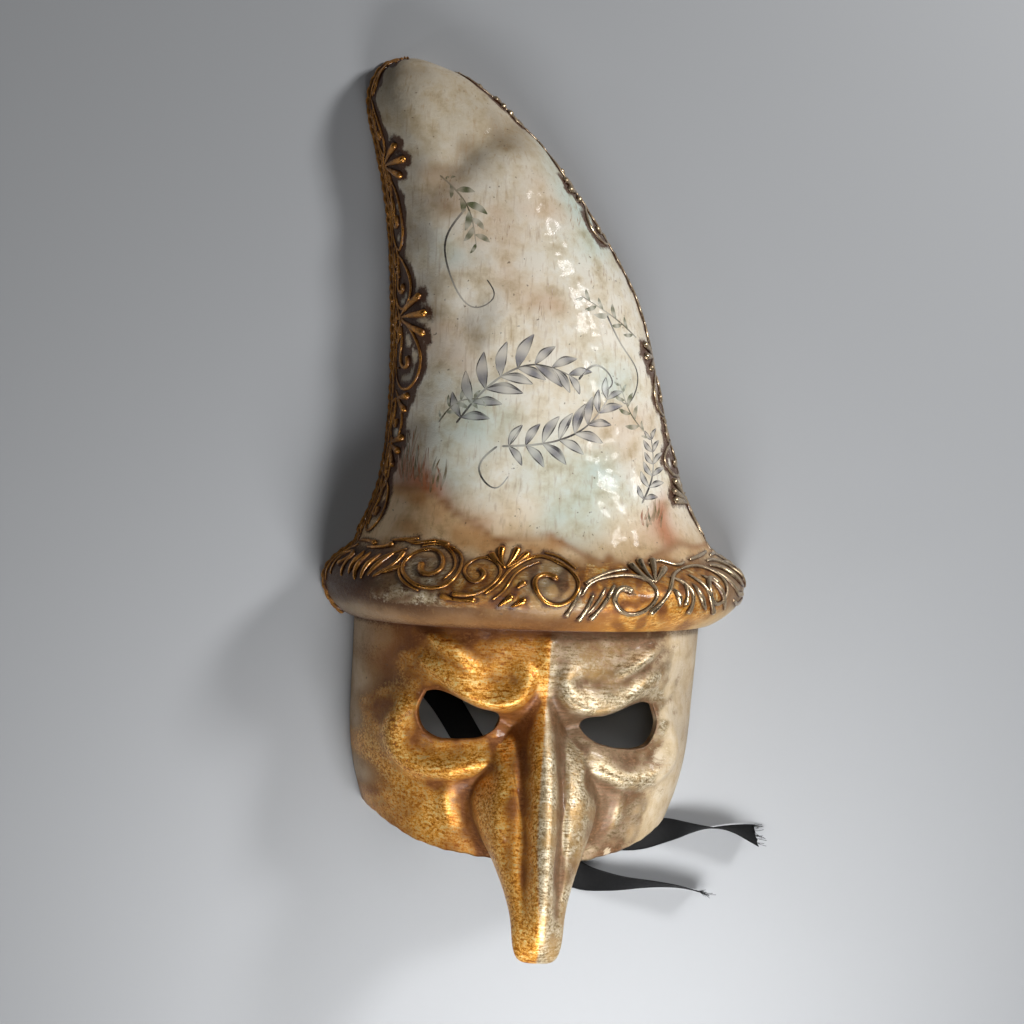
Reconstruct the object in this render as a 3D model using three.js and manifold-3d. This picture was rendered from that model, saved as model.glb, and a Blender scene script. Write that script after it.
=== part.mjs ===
// A long-nosed papier-mâché carnival mask with a tall bent hat, lying on its back.
// Millimetres. X to the right as one looks at the face, Y up towards the hat's tip, Z out of the face.
// The form is worked out from the brim's seam on the forehead and then moved to its middle.
import * as THREE from 'three';
import Module from 'manifold-3d';

const MIDDLE = [2.36, 54.9]; // middle of the finished mask's box, from the brim's seam
const WALL = 3.0; // thickness of the moulded paper
const GAP = 0.35; // clearance of a separate piece over the shell

// The shell's plain form
const RIM_POWER = 2.35; // how square the section is: 2 is an ellipse
const FACE_HALF = [[-135, 66], [-120, 71], [-95, 80], [-75, 85], [-45, 87], [-6, 88]]; // y, half width
const FACE_DEPTH = [[-135, 60], [-120, 63], [-95, 69], [-75, 72], [-45, 75], [-25, 76], [-6, 74]];
const LOW_EDGE = [[-1, -103], [-0.82, -112.5], [-0.62, -117.5], [-0.4, -119.5], [0, -121.5], [0.4, -119.5],
  [0.62, -115.5], [0.82, -109], [1, -99]]; // share of the half width, y
const BRIM = [[0, -6], [5, -6], [11, -3.5], [16.5, 1], [19.5, 7], [19.5, 13], [15.5, 19], [9, 24.5],
  [3.5, 30], [0, 37]]; // how far the rolled brim stands out, y
const BRIM_TILT = 0.045; // rise of the brim to the right, mm per mm
const BRIM_END = { rise: 4, right: 2.6, inward: 1.1 }; // how the brim's ends stand off from an even bow
const HAT_LEFT = [[-88.5, 37], [-81, 57], [-78, 75], [-77, 100.6], [-79.8, 150.4], [-86.4, 200],
  [-95.6, 234.3], [-99, 252], [-94, 266], [-79.2, 272]]; // x, y of the hat's left rim
const HAT_RIGHT = [[88.5, 37], [79.5, 51], [69.9, 75.4], [56.8, 119.6], [44, 158.8], [21.4, 194.8],
  [-8.6, 230.3], [-32.7, 252.2], [-57, 266.5], [-79.2, 272]];
const HAT_DEPTH = [[0, 72], [0.12, 66], [0.25, 60], [0.4, 55], [0.55, 50], [0.7, 43], [0.85, 33],
  [0.95, 21]]; // share of the hat's length, depth

// The nose, by rings from its tip (0) to its root on the face (1)
const NOSE_CREST = [[0, -162, 107], [0.15, -148, 116], [0.3, -129, 116.5], [0.5, -102, 109],
  [0.7, -77, 97.5], [0.85, -59, 87], [1, -42, 79]]; // ring, y, z
const NOSE_UNDER = [[0, -162, 107], [0.15, -158, 97], [0.3, -149, 88.5], [0.5, -137, 78.5],
  [0.7, -128, 70.5], [0.85, -124, 66], [1, -121, 63.5]];
const NOSE_HALF = [[0, 0], [0.07, 9.5], [0.16, 12], [0.3, 13.4], [0.5, 18.8], [0.7, 25.4], [0.85, 30], [1, 33],
  [1.1, 35]];
const NOSE_ROOT = { y: -92, half: 33, up: 50, down: 29.5, pear: 0.45 };

// The face's ridges: points (|x|, y), heights along them, and their spread to the left and right
const BROW = {
  at: [[9, -30], [10.5, -36.5], [16.4, -41.8], [23, -44.1], [30, -43.2], [37.8, -38.9], [45.1, -33.3],
    [53.2, -28.2], [61, -24]],
  rise: [4.5, 7, 7.8, 7.2, 6, 4, 0.8], left: 7.5, right: 4.5,
};
const FURROW = {
  at: [[33, -28], [42, -22], [50, -17], [58, -12]],
  rise: [1.2, 4, 4, 1.2], left: 4, right: 3.2,
};
const POUCH = {
  at: [[66, -50], [68.5, -58], [68, -66], [64, -72.5], [56, -77], [45.6, -77.6], [36.4, -75.5], [28.5, -73],
    [20.5, -71.5]],
  rise: [2, 4.5, 5.5, 5.5, 5.5, 5, 5], left: 5.2, right: 6.5,
};
const SOCKET = {
  at: [[14, -56], [22, -52.5], [34, -49], [50, -44]],
  rise: [-7, -6, -3.5, -1.5], left: 8, right: 8,
};
const CHEEK = { at: [[41, -82], [43, -92], [40, -104]], rise: [1, 1.6, 0.8], left: 3.5, right: 3.5 };
const TEMPLE = { x: 76, y: -33, rise: -2.5, spread: 12 };

const EYE = [[57, -40.5], [51, -39.2], [45, -40.6], [37, -43.6], [29, -46.3], [22.5, -48], [20.8, -51.5],
  [22.5, -56], [28, -59.7], [36, -61.6], [44, -62.7], [51, -62.2], [56, -59.6], [58.8, -54], [59, -46]];

// The piped relief is laid out in millimetres. On the brim: along it from the middle, and up its profile
// from the seam. On the hat's edges: up the rim from the brim, and in from the rim.
const BRIM_RUN = 158; // developed half length of the brim, rim to middle
const BRIM_GIRTH = 62; // developed height of the brim's profile
const LINE_STEP = 9;
const PIPING = { sunk: 1.6, half: 1.25, rise: 2 }; // one piped line: depth in the shell, half width, height
// The twisted edge: height of its middle, spacing of its stations, and where it ends up the left and right rim
const ROPE = { half: 1.7, rise: 2.4, level: 2.6, step: 18, ends: { left: 2.9995, right: 2.93 } };

// A spiral line: centre, half sizes, start angle, sweep (degrees), and how much of the size is left at its end
const BRIM_SPIRALS_LEFT = [
  { at: [-65, 45.5], size: [17.5, 12.8], from: 75, sweep: -540, left: 0.35 },
  { at: [-38.5, 41.5], size: [14.5, 12], from: -125, sweep: 450, left: 0.35 },
  { at: [-131, 38], size: [11, 9], from: -80, sweep: 405, left: 0.35 },
];
const BRIM_SPIRALS_RIGHT = [
  { at: [36.5, 31], size: [11.5, 9.5], from: 100, sweep: -495, left: 0.35 },
  { at: [89, 33], size: [10.5, 10], from: -120, sweep: 450, left: 0.35 },
  { at: [120, 38], size: [12, 9], from: 200, sweep: -405, left: 0.35 },
];
const BRIM_LINES_LEFT = [
  [[-33.6, 30], [-28.4, 34.7], [-23.7, 43.7], [-16.6, 51], [-6, 53.5], [4.5, 47.5], [9, 37], [5.5, 29],
    [-3, 26], [-9.9, 32.3], [-9, 40]],
  [[-129, 29.3], [-112, 32], [-97, 41], [-84, 54], [-66, 58.5], [-60.5, 57.8]],
  [[-58.5, 37.3], [-46.8, 31.7]],
];
const BRIM_LINES_RIGHT = [
  [[10.7, 17], [13.5, 25], [20, 35], [34.6, 40.4], [52, 35], [66, 30], [83.7, 24.4]],
  [[16, 31], [8, 27]],
  [[54, 36], [45, 21.7]],
  [[95.5, 38], [108.7, 34.9]],
];
// A blossom: its root and the tips of its drop-shaped petals
const BRIM_BLOSSOMS_LEFT = [
  { at: [-25.5, 42], tips: [[-35, 53], [-29.2, 57.5], [-20, 57]] },
  { at: [-97, 41], tips: [[-104, 52], [-89, 46]] },
  { at: [-112, 32], tips: [[-114, 50]] },
];
const BRIM_BLOSSOMS_RIGHT = [
  { at: [50, 35.6], tips: [[41, 49], [48.5, 52]] },
  { at: [65, 31], tips: [[70, 44]] },
];
// On the hat's edges: where a scroll starts up the rim, its length, and how far in it reaches
const HAT_LENGTH_LEFT = 245;
const HAT_LENGTH_RIGHT = 310;
const SCROLLS_LEFT = [[2, 30, 24], [46, 24, 20], [70, 34, 31], [108, 28, 25], [138, 38, 20]];
const SCROLLS_RIGHT = [[38, 22, 36], [72, 27, 31], [167, 24, 28], [206, 20, 17], [266, 19, 12]];
const FLOWERS_LEFT = [[42, 9, 16], [104, 12, 24], [179, 7, 22]];
const FLOWERS_RIGHT = [[104, 14, 18], [199, 9, 18], [255, 5, 12]];

// The ribbons: x, y, z along the middle, and the roll about it in degrees
const RIBBON = { width: 15, thickness: 1.2, stations: 24, settled: 0.16 };
const RIBBON_LEFT = [[-80, -3, 24, 0], [-80.8, -7, 18, 0], [-79, -14, 9, 0], [-73.4, -22, 2.8, 0],
  [-64, -29.7, 0.8, 0], [-52, -38, 0.8, 0], [-41, -48, 0.8, 0], [-25, -70, 0.8, 0], [-9, -91.5, 0.8, 0],
  [7, -112, 0.8, 0], [21, -127, 1, 0], [34, -135.3, 2.4, 12], [47, -138.3, 5.4, 36], [59, -139, 7, 52],
  [71, -138.6, 7.9, 63], [82, -138.6, 8.4, 72], [92, -139.5, 8.6, 80], [101, -141.2, 8.7, 86]];
const RIBBON_RIGHT = [[80, -3, 24, 0], [80.8, -5.5, 18, 0], [79, -10, 9, 0], [73, -14.5, 4.8, 0],
  [62, -18, 2.2, 0], [44, -23, 0.8, 0], [27, -34, 0.8, 0], [17, -50, 0.8, 0], [14, -69, 0.8, 0],
  [18.5, -88, 0.8, 0], [30, -104, 0.8, 0], [46, -113.5, 0.8, 0], [62, -115.2, 0.9, 0], [76, -112, 2.6, 14],
  [88, -109.2, 6.6, 46], [99.5, -108, 8.4, 72], [111, -107.5, 8.7, 90], [120, -108.8, 8.4, 110],
  [128.5, -110.6, 7.2, 130]];

// How finely the shell is laid out
const ACROSS = 32;
const FACE_ROWS = 16;
const BRIM_ROWS = 7;
const HAT_ROWS = 10;
const CROWDING = 0.5; // how much closer the columns lie on the nose than at the rims

const BRONZE = new THREE.MeshStandardMaterial({ color: 0x8a5a2b, roughness: 0.35, metalness: 0.9 });
const SILVER = new THREE.MeshStandardMaterial({ color: 0x9a8f82, roughness: 0.35, metalness: 0.9 });
const LACQUER = new THREE.MeshStandardMaterial({ color: 0xcdbb96, roughness: 0.3, metalness: 0.1 });
const SATIN = new THREE.MeshStandardMaterial({ color: 0x17161a, roughness: 0.5, metalness: 0 });

// Small helpers
const clamp = (x, low, high) => Math.min(Math.max(x, low), high);
const bell = (x, spread) => Math.exp(-((x / spread) ** 2));

function ramp(from, to, x) {
  const t = clamp((x - from) / (to - from), 0, 1);
  return t * t * (3 - 2 * t);
}

// Natural cubic spline through rows of values at the places xs.
function spline(xs, rows) {
  const n = xs.length;
  const bend = rows.map(row => row.map(() => 0));
  const factor = new Array(n).fill(0);
  for (let i = 1; i < n - 1; i++) {
    const before = xs[i] - xs[i - 1];
    const after = xs[i + 1] - xs[i];
    const pivot = 2 * (before + after) - before * factor[i - 1];
    factor[i] = after / pivot;
    for (let k = 0; k < rows[0].length; k++) {
      const jump = (rows[i + 1][k] - rows[i][k]) / after - (rows[i][k] - rows[i - 1][k]) / before;
      bend[i][k] = (6 * jump - before * bend[i - 1][k]) / pivot;
    }
  }
  for (let i = n - 2; i > 0; i--) {
    for (let k = 0; k < rows[0].length; k++) bend[i][k] -= factor[i] * bend[i + 1][k];
  }
  return x => {
    let i = 0;
    while (i < n - 2 && x > xs[i + 1]) i++;
    const h = xs[i + 1] - xs[i];
    const t = x - xs[i];
    return rows[i].map((y, k) => {
      const slope = (rows[i + 1][k] - y) / h - h * (2 * bend[i][k] + bend[i + 1][k]) / 6;
      return y + t * (slope + t * (bend[i][k] / 2 + t * (bend[i + 1][k] - bend[i][k]) / (6 * h)));
    });
  };
}

const graph = table => {
  const f = spline(table.map(row => row[0]), table.map(row => row.slice(1)));
  return x => f(x)[0];
};

// A smooth line through points, by the share of its chord length.
function line(points) {
  const run = [0];
  for (let i = 1; i < points.length; i++) {
    run.push(run[i - 1] + Math.hypot(...points[i].map((c, k) => c - points[i - 1][k])));
  }
  const total = run[run.length - 1];
  const f = spline(run.map(s => s / total), points);
  f.total = total;
  return f;
}

const halfWidth = graph(FACE_HALF);
const faceDepth = graph(FACE_DEPTH);
const lowEdge = graph(LOW_EDGE);
const brimLine = line(BRIM);
const hatLeft = line(HAT_LEFT);
const hatRight = line(HAT_RIGHT);
const hatCore = graph(HAT_DEPTH.map(([t, d]) => [t, d / Math.sqrt(1 - t ** 3)]));
const hatDepth = t => hatCore(Math.min(t, 0.95)) * Math.sqrt(Math.max(1 - t ** 3, 0));
const SEAM = BRIM[0][1];

// The plain form: across from rim to rim is -1 to 1, and up is 0 to 1 on the face, 1 to 2 on the brim,
// and 2 to 3 on the hat.
function plain(across, up) {
  const side = clamp(Math.sin(across * Math.PI / 2), -1, 1);
  const arch = (1 - Math.abs(side) ** RIM_POWER) ** (1 / RIM_POWER);
  let x;
  let y;
  let depth;
  if (up <= 1) {
    y = lowEdge(side) + (SEAM - lowEdge(side)) * up;
    x = halfWidth(y) * side;
    depth = faceDepth(y);
  } else if (up <= 2) {
    const [out, height] = brimLine(up - 1);
    const end = side ** 6 * Math.sin(Math.PI * (up - 1));
    x = (halfWidth(SEAM) + out) * side + (BRIM_END.right - BRIM_END.inward * side) * end;
    y = height + BRIM_END.rise * end;
    depth = faceDepth(SEAM) + out + (hatDepth(0) - faceDepth(SEAM)) * (up - 1);
  } else {
    const left = hatLeft(Math.min(up - 2, 1));
    const right = hatRight(Math.min(up - 2, 1));
    x = left[0] + (right[0] - left[0]) * (1 + side) / 2;
    y = left[1] + (right[1] - left[1]) * (1 + side) / 2;
    depth = hatDepth(Math.min(up - 2, 1));
  }
  const tilt = BRIM_TILT * ramp(-30, 0, y) * (1 - ramp(60, 140, y));
  return new THREE.Vector3(x, y + tilt * x, depth * arch);
}

// Ring and angle of a face point about the nose's root, which is pear shaped.
function noseRing(x, y) {
  const { half, up, down, pear } = NOSE_ROOT;
  const t = (y - NOSE_ROOT.y) / (y > NOSE_ROOT.y ? up : down);
  const s = x / half / (1 - pear * ramp(-0.1, 0.9, t));
  const power = t > 0 ? 2 : 3;
  return [(Math.abs(s) ** power + Math.abs(t) ** power) ** (1 / power), Math.atan2(t, s)];
}

const noseProfile = spline(
  [...NOSE_UNDER.map(row => -row[0]).reverse(), ...NOSE_CREST.slice(1).map(row => row[0])],
  [...NOSE_UNDER.map(row => row.slice(1)).reverse(), ...NOSE_CREST.slice(1).map(row => row.slice(1))],
);
const noseHalfSquared = graph(NOSE_HALF.map(([ring, half]) => [ring, half * half]));

// Draws the face round the nose's root out into the nose.
function withNose(point) {
  const [ring, angle] = noseRing(point.x, point.y);
  if (ring >= 1.06) return point.clone();
  const crest = noseProfile(ring);
  const under = noseProfile(-ring);
  const middle = [(crest[0] + under[0]) / 2, (crest[1] + under[1]) / 2];
  const half = [(crest[0] - under[0]) / 2, (crest[1] - under[1]) / 2];
  const rise = Math.sin(angle);
  const pear = 1 - NOSE_ROOT.pear * ramp(-0.1, 0.9, rise);
  const x = Math.sqrt(Math.max(noseHalfSquared(ring), 0)) * Math.cos(angle) * pear;
  const along = ramp(0.16, 0.42, ring) * ramp(0.1, 0.6, rise);
  const groove = 4.0 * bell(Math.abs(x) - (8.0 + 1.5 * ring), 3.2) * along;
  const wing = 2.5 * bell(Math.abs(x) - 20, 6) * bell(ring - 0.72, 0.16) * ramp(-0.3, 0.3, rise);
  const size = Math.hypot(...half) + 1e-6;
  const nose = new THREE.Vector3(
    x + wing * 0.5 * Math.sign(x),
    middle[0] + half[0] * rise + (wing - groove) * half[0] / size * 0.35,
    middle[1] + half[1] * rise + (wing - groove) * 0.94,
  );
  return nose.lerp(point, ramp(0.78, 1.06, ring));
}

// Height of a ridge at a point, by its nearest place on the ridge's line.
function ridge(shape, x, y) {
  shape.samples ??= Array.from({ length: 64 }, (_, i) => line(shape.at)(i / 63));
  shape.heights ??= graph(shape.rise.map((h, i) => [i / (shape.rise.length - 1), h]));
  let best = 0;
  let near = Infinity;
  shape.samples.forEach(([px, py], i) => {
    const distance = Math.hypot(x - px, y - py);
    if (distance < near) [near, best] = [distance, i];
  });
  const a = shape.samples[Math.max(best - 1, 0)];
  const b = shape.samples[Math.min(best + 1, 63)];
  const here = shape.samples[best];
  const onLeft = (b[0] - a[0]) * (y - here[1]) - (b[1] - a[1]) * (x - here[0]) >= 0;
  return shape.heights(best / 63) * bell(near, onLeft ? shape.left : shape.right);
}

// Height of the face's carving over the plain form.
function relief(x, y) {
  const side = Math.abs(x);
  let height = 0;
  for (const shape of [BROW, FURROW, POUCH, SOCKET, CHEEK]) height += ridge(shape, side, y);
  height += TEMPLE.rise * bell(Math.hypot(side - TEMPLE.x, y - TEMPLE.y), TEMPLE.spread);
  height += 2.2 * bell(x, 4.5) * ramp(-60, -42, y) * (1 - ramp(-12, -4, y));
  return height * (1 - ramp(-13, -5, y)) * (1 - ramp(78, 87, side));
}

function plainNormal(across, up) {
  const e = 0.004;
  const a = clamp(across, -1 + e, 1 - e);
  const b = clamp(up, e, 3 - 4 * e);
  const du = plain(a + e, b).sub(plain(a - e, b));
  const dv = plain(a, b + e).sub(plain(a, b - e));
  return du.cross(dv).normalize();
}

// The outer surface with its carving and nose.
function outer(across, up) {
  const point = plain(across, up);
  if (up > 1) return point;
  const [ring] = noseRing(point.x, point.y);
  const height = relief(point.x, point.y) * ramp(0.72, 1, ring);
  return withNose(point).addScaledVector(plainNormal(across, up), height);
}

// Place across and up of a point seen from the front, on the face.
function placeOf(x, y) {
  const flat = y - BRIM_TILT * x * ramp(-30, 0, y);
  const side = clamp(x / halfWidth(flat), -1, 1);
  const low = lowEdge(side);
  return [Math.asin(side) * 2 / Math.PI, (flat - low) / (SEAM - low)];
}

// The layout: columns crowd at the nose, and rows close up towards the hat's tip.
const columns = Array.from({ length: ACROSS + 1 }, (_, i) => {
  const w = 2 * i / ACROSS - 1;
  return w * (1 - CROWDING) + CROWDING * w ** 3;
});
const rows = [
  ...Array.from({ length: FACE_ROWS }, (_, j) => j / FACE_ROWS),
  ...Array.from({ length: BRIM_ROWS }, (_, j) => 1 + j / BRIM_ROWS),
  ...Array.from({ length: HAT_ROWS + 1 }, (_, j) => 3 - (1 - j / HAT_ROWS) ** 1.5),
];

// An eye hole is a block of left-out cells whose border is drawn onto the hole's outline.
function eyeBlock(sign) {
  const outline = EYE.map(([x, y]) => placeOf(sign * x, y));
  const closed = line([...outline, outline[0]]);
  const places = Array.from({ length: 96 }, (_, i) => closed(i / 96));
  const nearest = (list, value) => list.reduce(
    (best, v, i) => (Math.abs(v - value) < Math.abs(list[best] - value) ? i : best), 0);
  const range = k => [Math.min(...places.map(p => p[k])), Math.max(...places.map(p => p[k]))];
  const [i0, i1] = range(0).map(value => nearest(columns, value));
  const [j0, j1] = range(1).map(value => nearest(rows, value));
  const centre = [(columns[i0] + columns[i1]) / 2, (rows[j0] + rows[j1]) / 2];
  const size = [(columns[i1] - columns[i0]) / 2, (rows[j1] - rows[j0]) / 2];
  const polar = places.map(p => {
    const q = [(p[0] - centre[0]) / size[0], (p[1] - centre[1]) / size[1]];
    return [Math.atan2(q[1], q[0]), Math.hypot(...q)];
  }).sort((a, b) => a[0] - b[0]);
  const reach = angle => {
    const k = polar.findIndex(p => p[0] > angle);
    const next = polar[k < 0 ? 0 : k];
    const last = polar[(k < 0 ? polar.length : k || polar.length) - 1];
    const turn = 2 * Math.PI;
    const t = ((angle - last[0] + turn) % turn) / (((next[0] - last[0] + turn) % turn) || 1);
    return last[1] + (next[1] - last[1]) * t;
  };
  return { i0, i1, j0, j1, centre, size, reach };
}

const eyes = [eyeBlock(-1), eyeBlock(1)];
const DRAW = 2.1; // how far round an eye its grid is drawn towards the outline, in half sizes

function drawn(across, up) {
  for (const { centre, size, reach } of eyes) {
    const q = [(across - centre[0]) / size[0], (up - centre[1]) / size[1]];
    const square = Math.max(Math.abs(q[0]), Math.abs(q[1]));
    if (square >= DRAW || square === 0) continue;
    const scale = reach(Math.atan2(q[1], q[0])) * square / Math.hypot(...q);
    const pull = scale + (1 - scale) * ramp(1, DRAW, square);
    return [centre[0] + q[0] * pull * size[0], centre[1] + q[1] * pull * size[1]];
  }
  return [across, up];
}

const inEye = (i, j) => eyes.some(e => i >= e.i0 && i < e.i1 && j >= e.j0 && j < e.j1);
const WIDE = ACROSS + 1;
const HIGH = rows.length;
const TIP = HIGH - 1;
const at = (i, j) => (j === TIP ? TIP * WIDE : j * WIDE + i); // the hat's tip is one point

function outerGrid() {
  const points = [];
  for (let j = 0; j < HIGH; j++) {
    for (let i = 0; i < WIDE; i++) {
      const point = outer(...drawn(columns[i], rows[j]));
      if (i === 0 || i === ACROSS || j === TIP) point.z = 0;
      points.push(point);
    }
  }
  return points;
}

// Triangles of the grid, without the eyes.
function gridFaces() {
  const faces = [];
  for (let j = 0; j < TIP; j++) {
    for (let i = 0; i < ACROSS; i++) {
      if (inEye(i, j)) continue;
      const [a, b, c, d] = [at(i, j), at(i + 1, j), at(i + 1, j + 1), at(i, j + 1)];
      faces.push([a, b, c]);
      if (c !== d) faces.push([a, c, d]);
    }
  }
  return faces;
}

// Outward direction at each point of the grid, level along the rim.
function gridNormals(points, faces) {
  const normals = points.map(() => new THREE.Vector3());
  for (const [a, b, c] of faces) {
    const n = points[b].clone().sub(points[a]).cross(points[c].clone().sub(points[a]));
    for (const k of [a, b, c]) normals[k].add(n);
  }
  for (let j = 0; j < HIGH; j++) {
    normals[at(0, j)].z = 0;
    normals[at(ACROSS, j)].z = 0;
  }
  normals.forEach(n => n.normalize());
  return normals;
}

const faces = gridFaces();
const skin = outerGrid();
const skinNormals = gridNormals(skin, faces);

// The inner wall: the skin moved in by the wall, then evened out where it isn't an edge.
function innerGrid() {
  let points = skin.map((p, k) => p.clone().addScaledVector(skinNormals[k], -WALL));
  for (let pass = 0; pass < 2; pass++) {
    const even = points.map(p => p.clone());
    for (let j = 1; j < TIP - 1; j++) {
      for (let i = 1; i < ACROSS; i++) {
        const k = at(i, j);
        if ([[i, j], [i - 1, j], [i, j - 1], [i - 1, j - 1]].some(([a, b]) => inEye(a, b))) continue;
        const around = [at(i - 1, j), at(i + 1, j), at(i, j - 1), at(i, j + 1)];
        const mean = around.reduce((sum, q) => sum.add(points[q]), new THREE.Vector3()).divideScalar(4);
        const step = mean.sub(points[k]).multiplyScalar(0.35);
        const inward = step.dot(skinNormals[k]);
        if (inward > 0) step.addScaledVector(skinNormals[k], -inward);
        even[k].add(step);
      }
    }
    points = even;
  }
  return points;
}

const lining = innerGrid();

// Joins an outer and an inner grid along the rim, the lower edge and the eyes into one closed body.
function closeShell(outside, inside) {
  const count = outside.length;
  const solid = [...faces, ...faces.map(([a, b, c]) => [a + count, c + count, b + count])];
  const strip = (a, b) => solid.push([b, a, a + count], [b, a + count, b + count]);
  for (let i = 0; i < ACROSS; i++) strip(at(i, 0), at(i + 1, 0));
  for (let j = 0; j < TIP; j++) {
    strip(at(ACROSS, j), at(ACROSS, j + 1));
    strip(at(0, j + 1), at(0, j));
  }
  for (const { i0, i1, j0, j1 } of eyes) {
    for (let i = i0; i < i1; i++) {
      strip(at(i + 1, j0), at(i, j0));
      strip(at(i, j1), at(i + 1, j1));
    }
    for (let j = j0; j < j1; j++) {
      strip(at(i0, j), at(i0, j + 1));
      strip(at(i1, j + 1), at(i1, j));
    }
  }
  return toGeometry([...outside, ...inside], solid);
}

// A geometry of only the points that its triangles use.
function toGeometry(points, triangles) {
  const order = new Map();
  const position = [];
  const index = triangles.flat().map(k => {
    if (!order.has(k)) {
      order.set(k, order.size);
      position.push(points[k].x, points[k].y, points[k].z);
    }
    return order.get(k);
  });
  const geometry = new THREE.BufferGeometry();
  geometry.setAttribute('position', new THREE.Float32BufferAttribute(position, 3));
  geometry.setIndex(index);
  return geometry;
}

const shellGeometry = closeShell(skin, lining);
const clearance = skin.map((p, k) => p.clone().addScaledVector(skinNormals[k], GAP));
for (const point of clearance) if (point.z < 0) point.z = 0;
const clearanceGeometry = closeShell(clearance, lining);

const wasm = await Module();
wasm.setup();

function toSolid(geometry) {
  const { position } = geometry.attributes;
  return new wasm.Manifold(new wasm.Mesh({
    numProp: 3,
    vertProperties: new Float32Array(position.array),
    triVerts: new Uint32Array(geometry.index.array),
  }));
}

function fromSolid(solid) {
  const { vertProperties, triVerts } = solid.getMesh();
  const geometry = new THREE.BufferGeometry();
  geometry.setAttribute('position', new THREE.BufferAttribute(new Float32Array(vertProperties), 3));
  geometry.setIndex(Array.from(triVerts));
  return geometry;
}

// Places on the shell for the three strips of relief.
const onBrim = ([along, up]) => [clamp(along / BRIM_RUN, -0.97, 0.97), 1 + up / BRIM_GIRTH];

function onHat(sign) {
  const length = sign < 0 ? HAT_LENGTH_LEFT : HAT_LENGTH_RIGHT;
  return ([along, inward]) => {
    const up = clamp(2 + along / length, 1, 2.985);
    const pace = plain(sign * 0.78, up).distanceTo(plain(sign * 0.7, up)) / 0.08;
    return [sign * (1 - inward / pace), up];
  };
}

// One piped line as a solid with a three-sided section, half sunk in the shell so that it can be cut to it.
function piping(places, half, rise) {
  const points = places.map(([across, up]) => outer(across, up));
  const position = [];
  points.forEach((point, i) => {
    const normal = plainNormal(...places[i]);
    const ahead = points[Math.min(i + 1, points.length - 1)];
    const along = ahead.clone().sub(points[Math.max(i - 1, 0)]).normalize();
    const side = normal.clone().cross(along).normalize();
    const share = typeof half === 'number' ? 1 : half[i];
    const width = typeof half === 'number' ? half : half[i];
    const height = typeof half === 'number' ? rise : rise * Math.min(share, PIPING.half) / PIPING.half;
    for (const [s, n] of [[-width, -PIPING.sunk], [width, -PIPING.sunk], [0, height]]) {
      const corner = point.clone().addScaledVector(side, s).addScaledVector(normal, n);
      position.push(corner.x, corner.y, Math.max(corner.z, GAP));
    }
  });
  const index = [0, 2, 1];
  for (let i = 0; i < points.length - 1; i++) {
    for (let k = 0; k < 3; k++) {
      const [a, b] = [3 * i + k, 3 * i + (k + 1) % 3];
      index.push(a, b, b + 3, a, b + 3, a + 3);
    }
  }
  const last = 3 * (points.length - 1);
  index.push(last, last + 1, last + 2);
  const geometry = new THREE.BufferGeometry();
  geometry.setAttribute('position', new THREE.Float32BufferAttribute(position, 3));
  geometry.setIndex(index);
  return toSolid(geometry);
}

function alongLine(points, step) {
  const f = line(points);
  const count = Math.max(Math.ceil(f.total / step), 2);
  return Array.from({ length: count + 1 }, (_, i) => f(i / count));
}

function spiral({ at: [cx, cy], size: [sx, sy], from, sweep, left }) {
  const count = Math.round(Math.abs(sweep) / 56);
  return Array.from({ length: count + 1 }, (_, i) => {
    const t = i / count;
    const angle = THREE.MathUtils.degToRad(from + sweep * t);
    const reach = 1 - (1 - left) * t;
    return [cx + sx * reach * Math.cos(angle), cy + sy * reach * Math.sin(angle)];
  });
}

// A drop-shaped petal from the blossom's root to its tip.
function petal(root, tip) {
  return [0, 0.6, 1].map(t => [root[0] + (tip[0] - root[0]) * t, root[1] + (tip[1] - root[1]) * t]);
}
const PETAL_HALF = [0.9, 2, 1.8];

// A scroll on the hat's edge: out from the rim, round, and curled back in.
function scroll([start, length, reach]) {
  const shape = [[0, 0], [0.16, 0.62], [0.5, 0.96], [0.9, 0.84], [0.96, 0.38], [0.62, 0.24], [0.56, 0.56]];
  return shape.map(([a, b]) => [start + a * length, 0.5 + b * (reach - 0.5)]);
}

function relieved(strokes) {
  const cut = wasm.Manifold.union(strokes).subtract(toSolid(clearanceGeometry));
  const bodies = cut.decompose().sort((a, b) => b.volume() - a.volume());
  return fromSolid(bodies[0]); // the rest are crumbs of about a cubic millimetre, sunk in the shell's curve
}

function brimRelief(spirals, lines, blossoms) {
  const strokes = [
    ...spirals.map(shape => piping(spiral(shape).map(onBrim), PIPING.half, PIPING.rise)),
    ...lines.map(points => piping(alongLine(points, LINE_STEP).map(onBrim), PIPING.half, PIPING.rise)),
    ...blossoms.flatMap(({ at: root, tips }) => tips.map(tip => (
      piping(petal(root, tip).map(onBrim), PETAL_HALF, PIPING.rise)))),
  ];
  return relieved(strokes);
}

// The rope follows the rim from the seam, round the brim's end, to the hat's tip.
function rope(sign) {
  const places = [];
  let last = null;
  const end = sign < 0 ? ROPE.ends.left : ROPE.ends.right;
  for (let up = 1.12; up <= end; up += 0.001) {
    const point = outer(sign, up);
    if (last && point.distanceTo(last) < (up < 2.05 || up > 2.93 ? ROPE.step / 2 : ROPE.step)) continue;
    last = point;
    const pace = plain(sign, up).distanceTo(plain(sign * 0.99, up)) / 0.01;
    places.push([sign * (1 - ROPE.level / pace), up]);
  }
  return places;
}

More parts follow.
